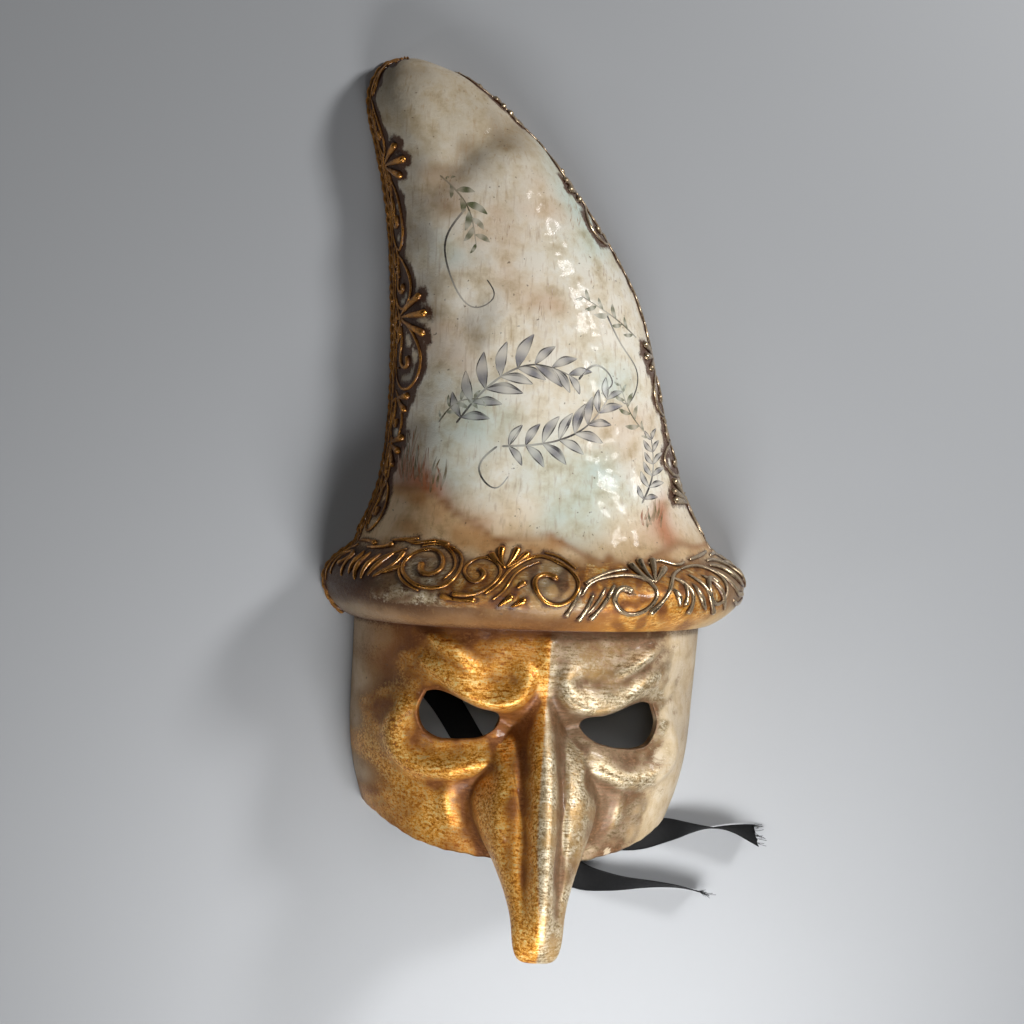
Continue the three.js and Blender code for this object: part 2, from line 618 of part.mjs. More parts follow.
function edgeRelief(sign, scrolls, flowers) {
  const place = onHat(sign);
  const strokes = [
    piping(rope(sign), ROPE.half, ROPE.rise),
    ...scrolls.map(shape => piping(scroll(shape).map(place), PIPING.half, PIPING.rise)),
    ...flowers.flatMap(([up, inward, reach]) => [-40, 0, 40].map(degrees => {
      const turn = THREE.MathUtils.degToRad(degrees);
      const tip = [up + reach * Math.sin(turn), inward + reach * Math.cos(turn)];
      return piping(petal([up, inward], tip).map(place), PETAL_HALF, PIPING.rise);
    })),
    ...flowers.map(([up, inward]) => (
      piping([[up, 0.5], [up, inward + 1]].map(place), PIPING.half, PIPING.rise))),
  ];
  return relieved(strokes);
}

// A flat ribbon along its middle line, with the roll that its rows give. It starts with its face turned
// inwards, as glued to the wall, and comes to lie face up. Both faces are split along the same diagonals.
function ribbon(rows, inward) {
  const path = line(rows);
  const stations = Array.from({ length: RIBBON.stations + 1 }, (_, i) => path(i / RIBBON.stations));
  const points = stations.map(row => new THREE.Vector3(row[0], row[1], row[2]));
  const section = [[-1, 0], [-0.9, 0.5], [0.9, 0.5], [1, 0], [0.9, -0.5], [-0.9, -0.5]];
  const sides = section.length;
  const position = [];
  points.forEach((point, i) => {
    const ahead = points[Math.min(i + 1, RIBBON.stations)];
    const along = ahead.clone().sub(points[Math.max(i - 1, 0)]).normalize();
    const lying = THREE.MathUtils.smoothstep(i / RIBBON.stations, 0, RIBBON.settled);
    const face = new THREE.Vector3(inward * (1 - lying), 0, lying);
    face.addScaledVector(along, -face.dot(along)).normalize();
    face.applyAxisAngle(along, THREE.MathUtils.degToRad(stations[i][3]));
    const side = along.clone().cross(face);
    for (const [a, b] of section) {
      const corner = point.clone().addScaledVector(side, a * RIBBON.width / 2);
      corner.addScaledVector(face, b * RIBBON.thickness);
      position.push(...corner.toArray());
    }
  });
  const index = [];
  for (let i = 0; i < RIBBON.stations; i++) {
    for (let k = 0; k < sides; k++) {
      const [a, b] = [sides * i + k, sides * i + (k + 1) % sides];
      if (k < sides / 2) index.push(a, b, b + sides, a, b + sides, a + sides);
      else index.push(a, b, a + sides, b, b + sides, a + sides);
    }
  }
  const last = sides * RIBBON.stations;
  for (let k = 1; k < sides - 1; k++) index.push(0, k + 1, k, last, last + k, last + k + 1);
  const geometry = new THREE.BufferGeometry();
  geometry.setAttribute('position', new THREE.Float32BufferAttribute(position, 3));
  geometry.setIndex(index);
  return geometry;
}

const mask = new THREE.Group();
mask.position.set(-MIDDLE[0], -MIDDLE[1], 0);

function add(name, geometry, material) {
  const mesh = new THREE.Mesh(geometry, material);
  mesh.name = name;
  mask.add(mesh);
}

add('mask_shell', shellGeometry, LACQUER);
add('brim_scrollwork_left', brimRelief(BRIM_SPIRALS_LEFT, BRIM_LINES_LEFT, BRIM_BLOSSOMS_LEFT), BRONZE);
add('brim_scrollwork_right', brimRelief(BRIM_SPIRALS_RIGHT, BRIM_LINES_RIGHT, BRIM_BLOSSOMS_RIGHT), SILVER);
add('hat_edge_scrollwork_left', edgeRelief(-1, SCROLLS_LEFT, FLOWERS_LEFT), BRONZE);
add('hat_edge_scrollwork_right', edgeRelief(1, SCROLLS_RIGHT, FLOWERS_RIGHT), SILVER);
add('ribbon_left', ribbon(RIBBON_LEFT, 1), SATIN);
add('ribbon_right', ribbon(RIBBON_RIGHT, -1), SATIN);

const part = new THREE.Group();
part.add(mask);
export default part;
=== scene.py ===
"""A long-nosed papier-mache carnival mask with a tall bent hat, lying face up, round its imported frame.

Shapes are worked out in millimetres from the brim's seam on the forehead: X to the right as one looks at the
face, Y up towards the hat's tip, Z out of the face. One function moves them to the frame's metres.
"""

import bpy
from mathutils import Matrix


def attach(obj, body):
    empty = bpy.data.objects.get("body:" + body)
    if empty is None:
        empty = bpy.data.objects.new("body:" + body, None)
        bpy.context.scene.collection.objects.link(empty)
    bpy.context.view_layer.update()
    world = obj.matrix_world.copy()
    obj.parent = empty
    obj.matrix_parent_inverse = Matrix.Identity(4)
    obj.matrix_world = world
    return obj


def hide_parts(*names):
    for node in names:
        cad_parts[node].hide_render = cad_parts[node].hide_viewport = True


bl_info = {
    "name": "Long-nosed carnival mask",
    "version": (1, 0, 0),
    "blender": (4, 5, 0),
    "location": "3D View > Sidebar > Mask",
    "description": "Makes the papier-mache shell, piped scrollwork and tie ribbons of a carnival mask",
    "category": "Add Mesh",
}

import math

import bpy
import numpy as np
from mathutils import Matrix, Vector

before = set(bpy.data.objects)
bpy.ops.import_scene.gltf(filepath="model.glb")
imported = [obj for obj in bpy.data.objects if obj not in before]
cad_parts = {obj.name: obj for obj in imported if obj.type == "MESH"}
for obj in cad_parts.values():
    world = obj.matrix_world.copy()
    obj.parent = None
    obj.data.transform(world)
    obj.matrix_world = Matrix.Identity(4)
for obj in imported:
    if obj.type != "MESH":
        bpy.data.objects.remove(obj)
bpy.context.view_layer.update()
MIDDLE = np.array([2.36, 54.9, 0.0])  # middle of the mask's box, from the brim's seam
MM = 0.001

# The shell's plain form
WALL = 3.0
RIM_POWER = 2.35  # how square the section is: 2 is an ellipse
FACE_HALF = [(-135, 66), (-120, 71), (-95, 80), (-75, 85), (-45, 87), (-6, 88)]  # y, half width
FACE_DEPTH = [(-135, 60), (-120, 63), (-95, 69), (-75, 72), (-45, 75), (-25, 76), (-6, 74)]
LOW_EDGE = [(-1, -103), (-0.82, -112.5), (-0.62, -117.5), (-0.4, -119.5), (0, -121.5), (0.4, -119.5),
            (0.62, -115.5), (0.82, -109), (1, -99)]  # share of the half width, y
BRIM = [(0, -6), (5, -6), (11, -3.5), (16.5, 1), (19.5, 7), (19.5, 13), (15.5, 19), (9, 24.5), (3.5, 30),
        (0, 37)]  # how far the rolled brim stands out, y
BRIM_TILT = 0.045  # rise of the brim to the right, mm per mm
BRIM_END_RISE, BRIM_END_RIGHT, BRIM_END_INWARD = 4.0, 2.6, 1.1  # how its ends stand off from an even bow
EDGE_WAVER = 0.35  # unevenness of the cut lower edge
HAT_LEFT = [(-88.5, 37), (-81, 57), (-78, 75), (-77, 100.6), (-79.8, 150.4), (-86.4, 200), (-95.6, 234.3),
            (-99, 252), (-94, 266), (-79.2, 272)]  # x, y of the hat's left rim
HAT_RIGHT = [(88.5, 37), (79.5, 51), (69.9, 75.4), (56.8, 119.6), (44, 158.8), (21.4, 194.8), (-8.6, 230.3),
             (-32.7, 252.2), (-57, 266.5), (-79.2, 272)]
HAT_DEPTH = [(0, 72), (0.12, 66), (0.25, 60), (0.4, 55), (0.55, 50), (0.7, 43), (0.85, 33), (0.95, 21)]

# The nose, by rings from its tip (0) to its root on the face (1): ring, y, z
NOSE_CREST = [(0, -162, 107), (0.15, -148, 116), (0.3, -129, 116.5), (0.5, -102, 109), (0.7, -77, 97.5),
              (0.85, -59, 87), (1, -42, 79)]
NOSE_UNDER = [(0, -162, 107), (0.15, -158, 97), (0.3, -149, 88.5), (0.5, -137, 78.5), (0.7, -128, 70.5),
              (0.85, -124, 66), (1, -121, 63.5)]
NOSE_HALF = [(0, 0), (0.07, 9.5), (0.16, 12), (0.3, 13.4), (0.5, 18.8), (0.7, 25.4), (0.85, 30), (1, 33),
             (1.1, 35)]
NOSE_ROOT_Y = -92.0
NOSE_ROOT_HALF, NOSE_ROOT_UP, NOSE_ROOT_DOWN, NOSE_PEAR = 33.0, 50.0, 29.5, 0.45
GROOVE = (8.0, 3.2, 4.0)  # beside the crest: distance from it, spread, depth
WING = (20.0, 6.0, 2.5)  # near the root: distance from the crest, spread, height

# Ridges of the face: points (|x|, y), heights along them, and their spread to the left and right
RIDGES = [
    ([(9, -30), (10.5, -36.5), (16.4, -41.8), (23, -44.1), (30, -43.2), (37.8, -38.9), (45.1, -33.3),
      (53.2, -28.2), (61, -24)], (4.5, 7, 7.8, 7.2, 6, 4, 0.8), 7.5, 4.5),  # brow
    ([(33, -28), (42, -22), (50, -17), (58, -12)], (1.2, 4, 4, 1.2), 4, 3.2),  # furrow over the brow
    ([(66, -50), (68.5, -58), (68, -66), (64, -72.5), (56, -77), (45.6, -77.6), (36.4, -75.5), (28.5, -73),
      (20.5, -71.5)], (2, 4.5, 5.5, 5.5, 5.5, 5, 5), 5.2, 6.5),  # pouch under the eye
    ([(14, -56), (22, -52.5), (34, -49), (50, -44)], (-7, -6, -3.5, -1.5), 8, 8),  # socket
    ([(41, -82), (43, -92), (40, -104)], (1, 1.6, 0.8), 3.5, 3.5),  # cheek
]
EYE = [(57, -40.5), (51, -39.2), (45, -40.6), (37, -43.6), (29, -46.3), (22.5, -48), (20.8, -51.5),
       (22.5, -56), (28, -59.7), (36, -61.6), (44, -62.7), (51, -62.2), (56, -59.6), (58.8, -54), (59, -46)]

TEMPLE = (76, -33, 12, 2.5)  # hollow of the temple: |x|, y, spread, depth
FOREHEAD = (4.5, 2.2)  # ridge between the brows: spread, height

# Hand-made unevenness of the hat: x, y, spread, height
LUMPS = [(-80, 243, 17, 2.6), (-26, 217, 20, 2.8), (-46, 147, 10, -1.8), (-31, 138, 12, 1.4),
         (10, 170, 22, -1.2), (-20, 100, 24, 1.2), (30, 85, 18, -1.0), (-55, 110, 14, -0.8),
         (48, 118, 12, 0.8), (-68, 190, 12, 0.9)]
WAVINESS = 0.22  # reach of its slight waves
CREASE = ([(-68, 205), (-55, 221), (-40, 233), (-24, 240)], (-1.2, -3.2, -3.2, -1), 8, 7)

# How finely the shell is laid out. The inner wall has half as many rows and columns.
COLUMNS, FACE_ROWS, BRIM_ROWS, HAT_ROWS = 260, 120, 50, 120
CROWDING = 0.5  # how much closer the columns lie on the nose than at the rims
CAVITY_PASSES = 60  # how far the surface is evened out to find its hollows and ridges
LOW_BULGE, EYE_BULGE = 0.9, 0.7  # how far the rounded edges stand out, below the face and round the eyes

BRIM_RUN, BRIM_GIRTH = 158.0, 62.0  # developed half length of the brim and height of its profile
HAT_LENGTH = {-1: 245.0, 1: 310.0}  # length of the left and right rim

# The ribbons' middle lines: x, y, z and the roll about the line in degrees, as the frame has them
RIBBON_LEFT = [(-80, -3, 24, 0), (-80.8, -7, 18, 0), (-79, -14, 9, 0), (-73.4, -22, 2.8, 0),
               (-64, -29.7, 0.8, 0), (-52, -38, 0.8, 0), (-41, -48, 0.8, 0), (-25, -70, 0.8, 0),
               (-9, -91.5, 0.8, 0), (7, -112, 0.8, 0), (21, -127, 1, 0), (34, -135.3, 2.4, 12),
               (47, -138.3, 5.4, 36), (59, -139, 7, 52), (71, -138.6, 7.9, 63), (82, -138.6, 8.4, 72),
               (92, -139.5, 8.6, 80), (101, -141.2, 8.7, 86)]
RIBBON_RIGHT = [(80, -3, 24, 0), (80.8, -5.5, 18, 0), (79, -10, 9, 0), (73, -14.5, 4.8, 0),
                (62, -18, 2.2, 0), (44, -23, 0.8, 0), (27, -34, 0.8, 0), (17, -50, 0.8, 0),
                (14, -69, 0.8, 0), (18.5, -88, 0.8, 0), (30, -104, 0.8, 0), (46, -113.5, 0.8, 0),
                (62, -115.2, 0.9, 0), (76, -112, 2.6, 14), (88, -109.2, 6.6, 46), (99.5, -108, 8.4, 72),
                (111, -107.5, 8.7, 90), (120, -108.8, 8.4, 110), (128.5, -110.6, 7.2, 130)]
RIBBON_WIDTH = 15.0
RIBBON_SETTLED = 0.16  # share of a ribbon's length after which it lies face up
RIBBON_HALF_THICK, RIBBON_EDGE_THICK, RIBBON_CUP, RIBBON_WAVE = 0.17, 0.14, 0.3, 0.16
RIBBON_THREADS, THREAD_HALF, THREAD_REACH = 22, 0.11, (2.5, 7.5)  # count, radius, shortest and longest
ROPE_LEVEL, ROPE_HALF, ROPE_BEAD = 2.6, 1.7, 5.0  # height of its middle, radius, length of one bead
ROPE_ENDS = {-1: 2.985, 1: 2.93}  # places up the shell where the left and right rope end

# The piped relief: lines of points with their half widths. On the brim the points are mm along it from the
# middle and up its profile, on the hat's edges mm up the rim from the brim and in from the rim.
PLAIN, FINE = (0.7, 1.05, 1.05, 0.7), (0.5, 0.75, 0.75, 0.5)
BLOB_END, BLOB_START = (0.7, 1.05, 1.05, 1.05, 1.9), (1.9, 1.05, 1.05, 1.05, 0.7)
PETAL, LEAF = (0.5, 1.0, 1.7, 2.1), (0.6, 1.4, 1.7, 1.2, 0.6)
BRIM_LEFT = [
    ([(-110, 31), (-115, 39), (-117, 50)], LEAF), ([(-101, 34), (-99, 43), (-96, 52)], LEAF),
    ([(-97, 34), (-90, 41), (-88, 53)], BLOB_END), ([(-93, 37), (-85, 41), (-81, 44)], LEAF),
    ([(-105, 32), (-107, 41), (-106, 50)], LEAF), ([(-118, 33), (-122, 42), (-125, 50)], LEAF),
    ([(-125, 31), (-130, 38), (-133, 46)], BLOB_END),
    ([(-142, 30), (-146, 38), (-143, 46), (-136, 46), (-134, 39), (-138, 36)], BLOB_END),
    ([(-152, 26), (-153, 36), (-151, 47), (-143, 53)], PLAIN),
    ([(-146, 56), (-132, 57), (-118, 56)], BLOB_END), ([(-127, 53), (-112, 54), (-100, 57)], BLOB_END),
    ([(-104, 59), (-92, 60), (-82, 61)], PLAIN),
    ([(-59.6, 57.8), (-51.3, 52.7), (-48.6, 43.4), (-51.3, 34.5), (-61, 31.5), (-75, 36), (-83, 46),
      (-81, 52), (-74.7, 55), (-66, 54.5), (-60, 48.5), (-59.3, 41.3), (-63.5, 38.6), (-69.5, 41.5),
      (-71.5, 46.5)], BLOB_END),
    ([(-78, 57), (-66, 58.5), (-55, 52), (-52, 43), (-55, 36)], FINE),
    ([(-86, 46), (-79, 36), (-66, 30)], FINE),
    ([(-49, 29.5), (-39, 29.5), (-31, 34), (-27.6, 42.5), (-33, 50.5), (-41, 51.4), (-46, 45.7),
      (-43.4, 38.4), (-38, 35.8), (-35.2, 40), (-38.5, 44.2)],
     (1.7, 0.8, 0.8, 0.8, 0.8, 0.9, 1.6)),
    ([(-33.6, 30), (-28.4, 34), (-23.7, 43), (-16.6, 50.5), (-8, 53.7), (-1, 51.5), (6.3, 45.6),
      (9.6, 35.8), (6.7, 29), (0.8, 25.6), (-5.5, 27), (-9.9, 32.3), (-10.2, 38.2), (-4.5, 41.2), (0, 38)],
     BLOB_END),
    ([(-30, 27), (-24.6, 32), (-20.5, 41), (-14, 47.5), (-8, 50.5)], FINE),
    ([(-6, 56), (2, 53.5), (10, 46)], FINE), ([(-27, 24), (-20, 29.5)], PETAL),
    ([(-21, 24), (-14, 28)], PETAL), ([(-19, 33), (-15, 36.5)], PETAL),
    ([(-88, 55), (-100, 49), (-108, 41)], FINE),
    ([(-59.6, 57.8), (-70, 60), (-82, 58.5), (-92, 60)], BLOB_START),
] + [([(-25.7, 45.5), (a, b), (c, d)], PETAL) for a, b, c, d in (
    (-28.6, 51, -29, 59), (-22.6, 51.5, -20, 58.6), (-20, 49.5, -14, 56), (-31, 50, -35, 55))] + [
    ([(-55, 28.4), (-46, 26.6), (-37, 27)], (1.8, 0.9, 0.9, 1.8))]
BEADS = [(s, 39 + 0.62 * (s - 17) * (1 - (s - 17) / 46)) for s in range(13, 39, 4)]
BRIM_RIGHT = [
    ([(10.7, 33.6), (7.5, 27), (4.3, 19.6)], BLOB_END), ([(16, 31), (13.5, 24), (10.7, 17)], BLOB_END),
    ([(27, 36), (21.5, 27), (16, 18)], BLOB_END), ([(22, 34), (18, 27), (14, 21)], FINE),
    ([(10.7, 30), (13, 34), (19, 38.5), (28, 41), (43.5, 39.5), (48, 32.4), (44.5, 25.2), (37, 21.4),
      (29, 24), (26.2, 29.7), (30.4, 33.8), (35.4, 31.5)], BLOB_END),
    ([(72, 46), (65, 43), (55, 32), (45, 21.7)], BLOB_END), ([(57.7, 33.9), (60.4, 30), (62, 25)], LEAF),
    ([(66.4, 38), (66.4, 32), (64.8, 25.4)], BLOB_END), ([(72, 36), (76, 28), (81.6, 22.4)], LEAF),
    ([(60, 41), (67, 36), (70, 28), (68, 21)], BLOB_END),
    ([(74, 42), (80, 34), (84, 26), (90, 20)], BLOB_END), ([(84, 41), (90, 34), (95, 27), (101, 21)], LEAF),
    ([(52, 50), (61, 52), (72, 49), (80, 51)], PLAIN),
    ([(72, 46), (80, 47.5), (91, 46.5), (99, 40), (98, 30), (91, 25), (84, 28), (84, 35), (89, 38),
      (92, 34)], BLOB_END),
    ([(99, 44), (106, 34), (113, 28), (121, 27)], BLOB_END),
    ([(101, 47), (112, 42), (118, 34), (127, 30)], LEAF),
    ([(104, 50), (117, 49), (127, 42), (132, 33)], BLOB_END), ([(109, 25), (121, 22), (133, 24)], PLAIN),
    ([(128, 47), (137, 44), (143, 36), (139, 29), (133, 33), (135, 39)], BLOB_END),
    ([(118, 53), (133, 53), (146, 47), (151, 36)], PLAIN), ([(86, 52), (101, 54), (116, 56)], PLAIN),
    (BEADS, (0.9, 1.0, 0.9)),
] + [([(48.8, 37.4), (a, b), (c, d)], PETAL) for a, b, c, d in (
    (43.5, 42.5, 40.5, 50.5), (47.4, 44, 47.6, 53.5), (52.6, 44.4, 56.5, 53.5), (55, 42, 61.5, 47.5))] + [
    ([(s - 0.5, t - 0.3), (s + 0.5, t + 0.3)], (1.45, 1.45)) for s, t in BEADS]
# Loops on the hat's edges: start up the rim, length, reach in from it. Each holds a hook that ends in a blob.
LOOPS = {-1: [(1, 29, 24), (46, 24, 21), (70, 35, 33), (108, 28, 25), (137, 38, 20), (184, 28, 14),
              (214, 17, 11), (22, 26, 15), (92, 20, 14), (160, 24, 12), (126, 16, 13)],
         1: [(38, 20, 38), (72, 26, 31), (167, 24, 29), (204, 21, 17), (243, 9, 14), (265, 20, 12)]}
LOOP = [(1, 0.25), (0.75, 0.75), (0.4, 1), (0.12, 0.9), (0, 0.6), (0.1, 0.25), (0.35, 0.1), (0.7, 0.15)]
HOOK = [(0.85, 0.35), (0.6, 0.4), (0.42, 0.35), (0.3, 0.45), (0.32, 0.62), (0.45, 0.62)]
# Blossoms: root, tips of the petals
BLOSSOMS = {-1: [((45, 8), [(41, 23), (48, 25), (34, 19)]), ((104, 12), [(95, 36), (105, 37), (114, 33)]),
                 ((179, 7), [(172, 24), (180, 29), (188, 25)]), ((66, 12), [(60, 24), (67, 26)])],
            1: [((22, 17), [(30, 40), (36, 35), (25, 42)]), ((104, 13), [(97, 29), (104, 32), (111, 29)]),
                ((198, 8), [(206, 24), (200, 26), (193, 22)]),
                ((256, 5), [(262, 15), (256, 16), (250, 14)])]}
# Lines along the rope: from and to up the rim, reach in from it, reach of their waves
EDGE_LINES = {-1: [(-26, 238, 5.4, 0.3), (28, 50, 11, 1.2), (92, 112, 13, 2.2), (128, 140, 9, 0.8),
                   (170, 190, 9, 1.5), (4, 30, 12, 0.8), (150, 178, 12, 0.8), (222, 240, 9, 1)],
              1: [(-24, 288, 5.3, 0.3), (2, 32, 14, 0.5), (4, 30, 22, 0.6), (56, 74, 24, 2),
                  (98, 168, 14.5, 1.2), (112, 150, 10, 0.8), (186, 206, 12, 0.8), (222, 244, 8, 0.8),
                  (252, 268, 9, 0.8)]}
# Loose drops of relief on the edges
DROPS = {-1: [(80, 13), (62, 9), (124, 14), (160, 8), (205, 9), (232, 15), (236, 19), (239, 10), (243, 14)],
         1: [(28, 18), (62, 28), (70, 26), (12, 18), (158, 17), (134, 12), (128, 12), (140, 11.6),
             (146, 11.2), (232, 9), (285, 8)]}

# Colours along the brim, by mm from its middle, and of the bare paint on the face, by x
PANEL = [(-158, "6E5541"), (-100, "4E331F"), (-60, "5E3E20"), (-30, "765026"), (0, "B08A54"), (20, "98622A"),
         (60, "9A6424"), (95, "7C5834"), (115, "8E785E"), (158, "98866E")]
LIP = [(-158, "8E7C6A"), (-120, "8E7C66"), (-70, "8E6C48"), (-30, "825A30"), (0, "784E24"), (20, "A66E2C"),
       (60, "C48A3C"), (95, "C0A070"), (120, "D2C4AE"), (158, "CCBEAA")]
SILVERED = [(-158, 0.3), (-110, 0), (-90, 2), (-64, 2), (-50, -0.3), (-18, -0.6), (-8, 1.4), (6, 1.0),
            (16, -1.2), (60, -0.8), (158, 0.4)]
FACE_PAINT = [(-88, "D0B490"), (-81, "A67E52"), (-75, "80501F"), (-64, "6A3C16"), (-48, "7E4C1C"),
              (0, "9A6A30"), (44, "8E7254"), (54, "B09A78"), (66, "CDBDA2"), (76, "BFAE94"), (88, "98866E")]
HAT_UP = [(35, "E2C49A"), (62, "F0E9DA"), (120, "F0E8D8"), (195, "E0D8C8"), (240, "C6BAA4"), (272, "C2B6A2")]
# How far the leaf reaches on the face: y, x of its left and right limit. The line on the nose where gold
# meets silver: y, x.
LEAF_LIMITS = [(-121, -84, 50), (-100, -82, 55), (-75, -80, 62), (-50, -76, 64), (-30, -66, 64),
               (-10, -60, 60), (0, -58, 56)]
SPLIT = [(-158, 0), (-150, -0.5), (-130, -2.5), (-107, -3.8), (-90, -3.4), (-72, -1.9), (-53, 0),
         (-39, 0.9), (-6, 1)]
# Dark marks wiped into the face: x, y, spread, strength
MARKS = [(-20, -32, 6, -0.5), (20, -32, 6, -0.35), (-80, -28, 8, 0.7), (-66, -14, 11, 0.8),
         (-34, -6, 13, 0.45), (-62, -62, 9, 0.4), (-74, -52, 9, 0.4), (-17, -50, 7, 0.5), (15, -48, 6, 0.5),
         (-20, -100, 12, 0.4), (-42, -84, 9, 0.4), (-76, -90, 10, 0.7), (-66, -118, 8, 0.4),
         (60, -8, 9, 0.6), (48, -24, 8, 0.45), (34, -84, 12, 0.6), (30, -104, 10, 0.6), (44, -110, 12, 0.4),
         (56, -92, 10, 0.3), (66, -58, 5, 0.8), (44, -66, 9, 0.5), (-62, -36, 6, 0.5), (9, -142, 8, 0.5),
         (15, -120, 8, 0.5), (-13, -70, 8, 0.6), (-13, -90, 7, 0.5), (16, -70, 8, 0.4)]
CHIP = (40.3, -115.0, 2.0)  # where paint is chipped off the lower edge: x, y, spread
BARE_GESSO = "BBA98F"
EARTH_PALE, EARTH_WARM, EARTH_LINE = "EBCDA4", "CC9A62", "8A5428"  # the low hills and their upper line
OLIVE, STEM, GREY_WASH, GREY_SHADOW, INK, LINE_INK, DARK_INK = (
    "4A5026", "4E4628", "77757B", "35333A", "241E1C", "2A2422", "2A2420")
GRASSES, SIENNA = ["6E5A2C", "5A5028", "94552A"], "946638"
# Soft patches of watercolour on the hat, by colour: x, y, spread, strength
WASHES = {
    "blue_green": [(13, 197, 20, 0.85), (5, 213, 14, 0.6), (-8, 228, 10, 0.4), (24, 118, 14, 0.7),
                   (-43, 93, 18, 0.8), (-51, 63, 13, 0.6), (7, 50, 16, 0.8), (21, 68, 18, 0.85),
                   (-60, 175, 9, 0.5), (-4, 74, 16, 0.45)],
    "ochre": [(-13, 203, 12, 0.4), (-35, 187, 10, 0.35), (-13, 151, 10, 0.5), (-65, 207, 10, 0.4),
              (32, 92, 16, 0.35), (-70, 48, 16, 0.5), (-50, 120, 10, 0.3), (-30, 165, 12, 0.3),
              (-62, 134, 9, 0.4)],
    # Most stain patches are painted shade: along the crease under the tip's lobe and down the hat's left side
    "stain_and_shade": [(-62, 212, 9, 0.6), (-50, 226, 9, 0.6), (-34, 237, 9, 0.6), (-20, 240, 8, 0.5),
              (-84, 262, 9, 0.45), (-68, 150, 8, 0.6), (-70, 112, 8, 0.6), (-66, 84, 9, 0.6),
              (-48, 138, 8, 0.35), (-76, 182, 8, 0.5), (-72, 66, 8, 0.5)],
    "rust": [(-66, 58, 10, 0.95), (-54, 50, 8, 0.8), (56, 48, 9, 0.8), (-42, 44, 7, 0.4)],
}
# The line of the low hills: x, y
GROUND = [(-80, 60), (-62, 57), (-44, 46), (-24, 38), (-4, 40), (14, 33), (34, 28), (54, 36), (74, 40)]
# The painted design on the hat: sprigs and plumes with stem, count of leaf pairs or leaves, length of a leaf
SPRIGS = [([(-66, 212), (-52, 198), (-46, 178)], 10, 9), ([(40, 140), (24, 150), (8, 158)], 9, 7),
          ([(50, 88), (38, 100), (30, 116)], 9, 7), ([(-58, 92), (-50, 102), (-38, 104)], 8, 6)]
PLUMES = [([(-50, 92), (-36, 110), (-14, 122), (8, 116)], 8, 17),
          ([(-28, 82), (-8, 84), (14, 94), (26, 112)], 8, 15), ([(44, 56), (50, 70), (49, 92)], 6, 9)]
TENDRILS = [[(-52, 196), (-60, 182), (-56, 160), (-44, 148), (-36, 154), (-40, 162)],
            [(22, 150), (30, 136), (40, 118), (34, 106), (28, 112)],
            [(8, 116), (18, 124), (26, 116), (20, 110)], [(-30, 82), (-38, 70), (-30, 62), (-24, 68)]]
TUFTS = [(-68, 64, 20, 26), (-60, 60, 13, 18), (50, 46, 10, 12)]  # x, y, count, height of blades
SCRATCHES = [(-13, 151, 14), (4, 196, 16), (-35, 186, 10), (-64, 204, 12), (18, 168, 10), (30, 150, 8)]


# Lines and small functions

def spline(xs, ys):
    """Natural cubic spline through rows ys at the places xs, as a function."""
    xs, ys = np.asarray(xs, float), np.asarray(ys, float)
    n, h = len(xs), np.diff(xs)
    system, right = np.zeros((n, n)), np.zeros((n,) + ys.shape[1:])
    system[0, 0] = system[-1, -1] = 1
    for i in range(1, n - 1):
        system[i, i - 1:i + 2] = h[i - 1], 2 * (h[i - 1] + h[i]), h[i]
        right[i] = 6 * ((ys[i + 1] - ys[i]) / h[i] - (ys[i] - ys[i - 1]) / h[i - 1])
    bend = np.linalg.solve(system, right)

    def value(x):
        x = np.asarray(x, float)
        i = np.clip(np.searchsorted(xs, x) - 1, 0, n - 2)
        t, step = x - xs[i], h[i]
        if ys.ndim > 1:
            t, step = t[..., None], step[..., None]
        slope = (ys[i + 1] - ys[i]) / step - step * (2 * bend[i] + bend[i + 1]) / 6
        return ys[i] + t * (slope + t * (bend[i] / 2 + t * (bend[i + 1] - bend[i]) / (6 * step)))
    return value


def graph(table):
    """A spline through the rows of a table of places and values."""
    return spline([row[0] for row in table], [row[1] for row in table])


def line(points):
    """A smooth line through points, by the share of its chord length. Its total is the chord length."""
    points = np.asarray(points, float)
    run = np.r_[0, np.cumsum(np.linalg.norm(np.diff(points, axis=0), axis=1))]
    value = spline(run / run[-1], points)
    value.total = run[-1]
    return value


def ramp(low, high, x):
    """A smooth step from 0 at low to 1 at high, three squares less two cubes of the share."""
    t = np.clip((x - low) / (high - low), 0, 1)
    return t * t * (3 - 2 * t)


def bell(x, spread):
    """A bell curve that is 1 at 0 and has fallen to 1 / e at the spread."""
    return np.exp(-(x / spread) ** 2)


half_width, face_depth, low_edge = graph(FACE_HALF), graph(FACE_DEPTH), graph(LOW_EDGE)
brim_line, hat_left, hat_right = line(BRIM), line(HAT_LEFT), line(HAT_RIGHT)
hat_core = graph([(t, d / math.sqrt(1 - t ** 3)) for t, d in HAT_DEPTH])
SEAM = BRIM[0][1]


def hat_depth(t):
    """Depth of the hat's section by the share of its height, closing in a rounded tip."""
    return hat_core(np.minimum(t, 0.95)) * np.sqrt(np.clip(1 - t ** 3, 0, 1))


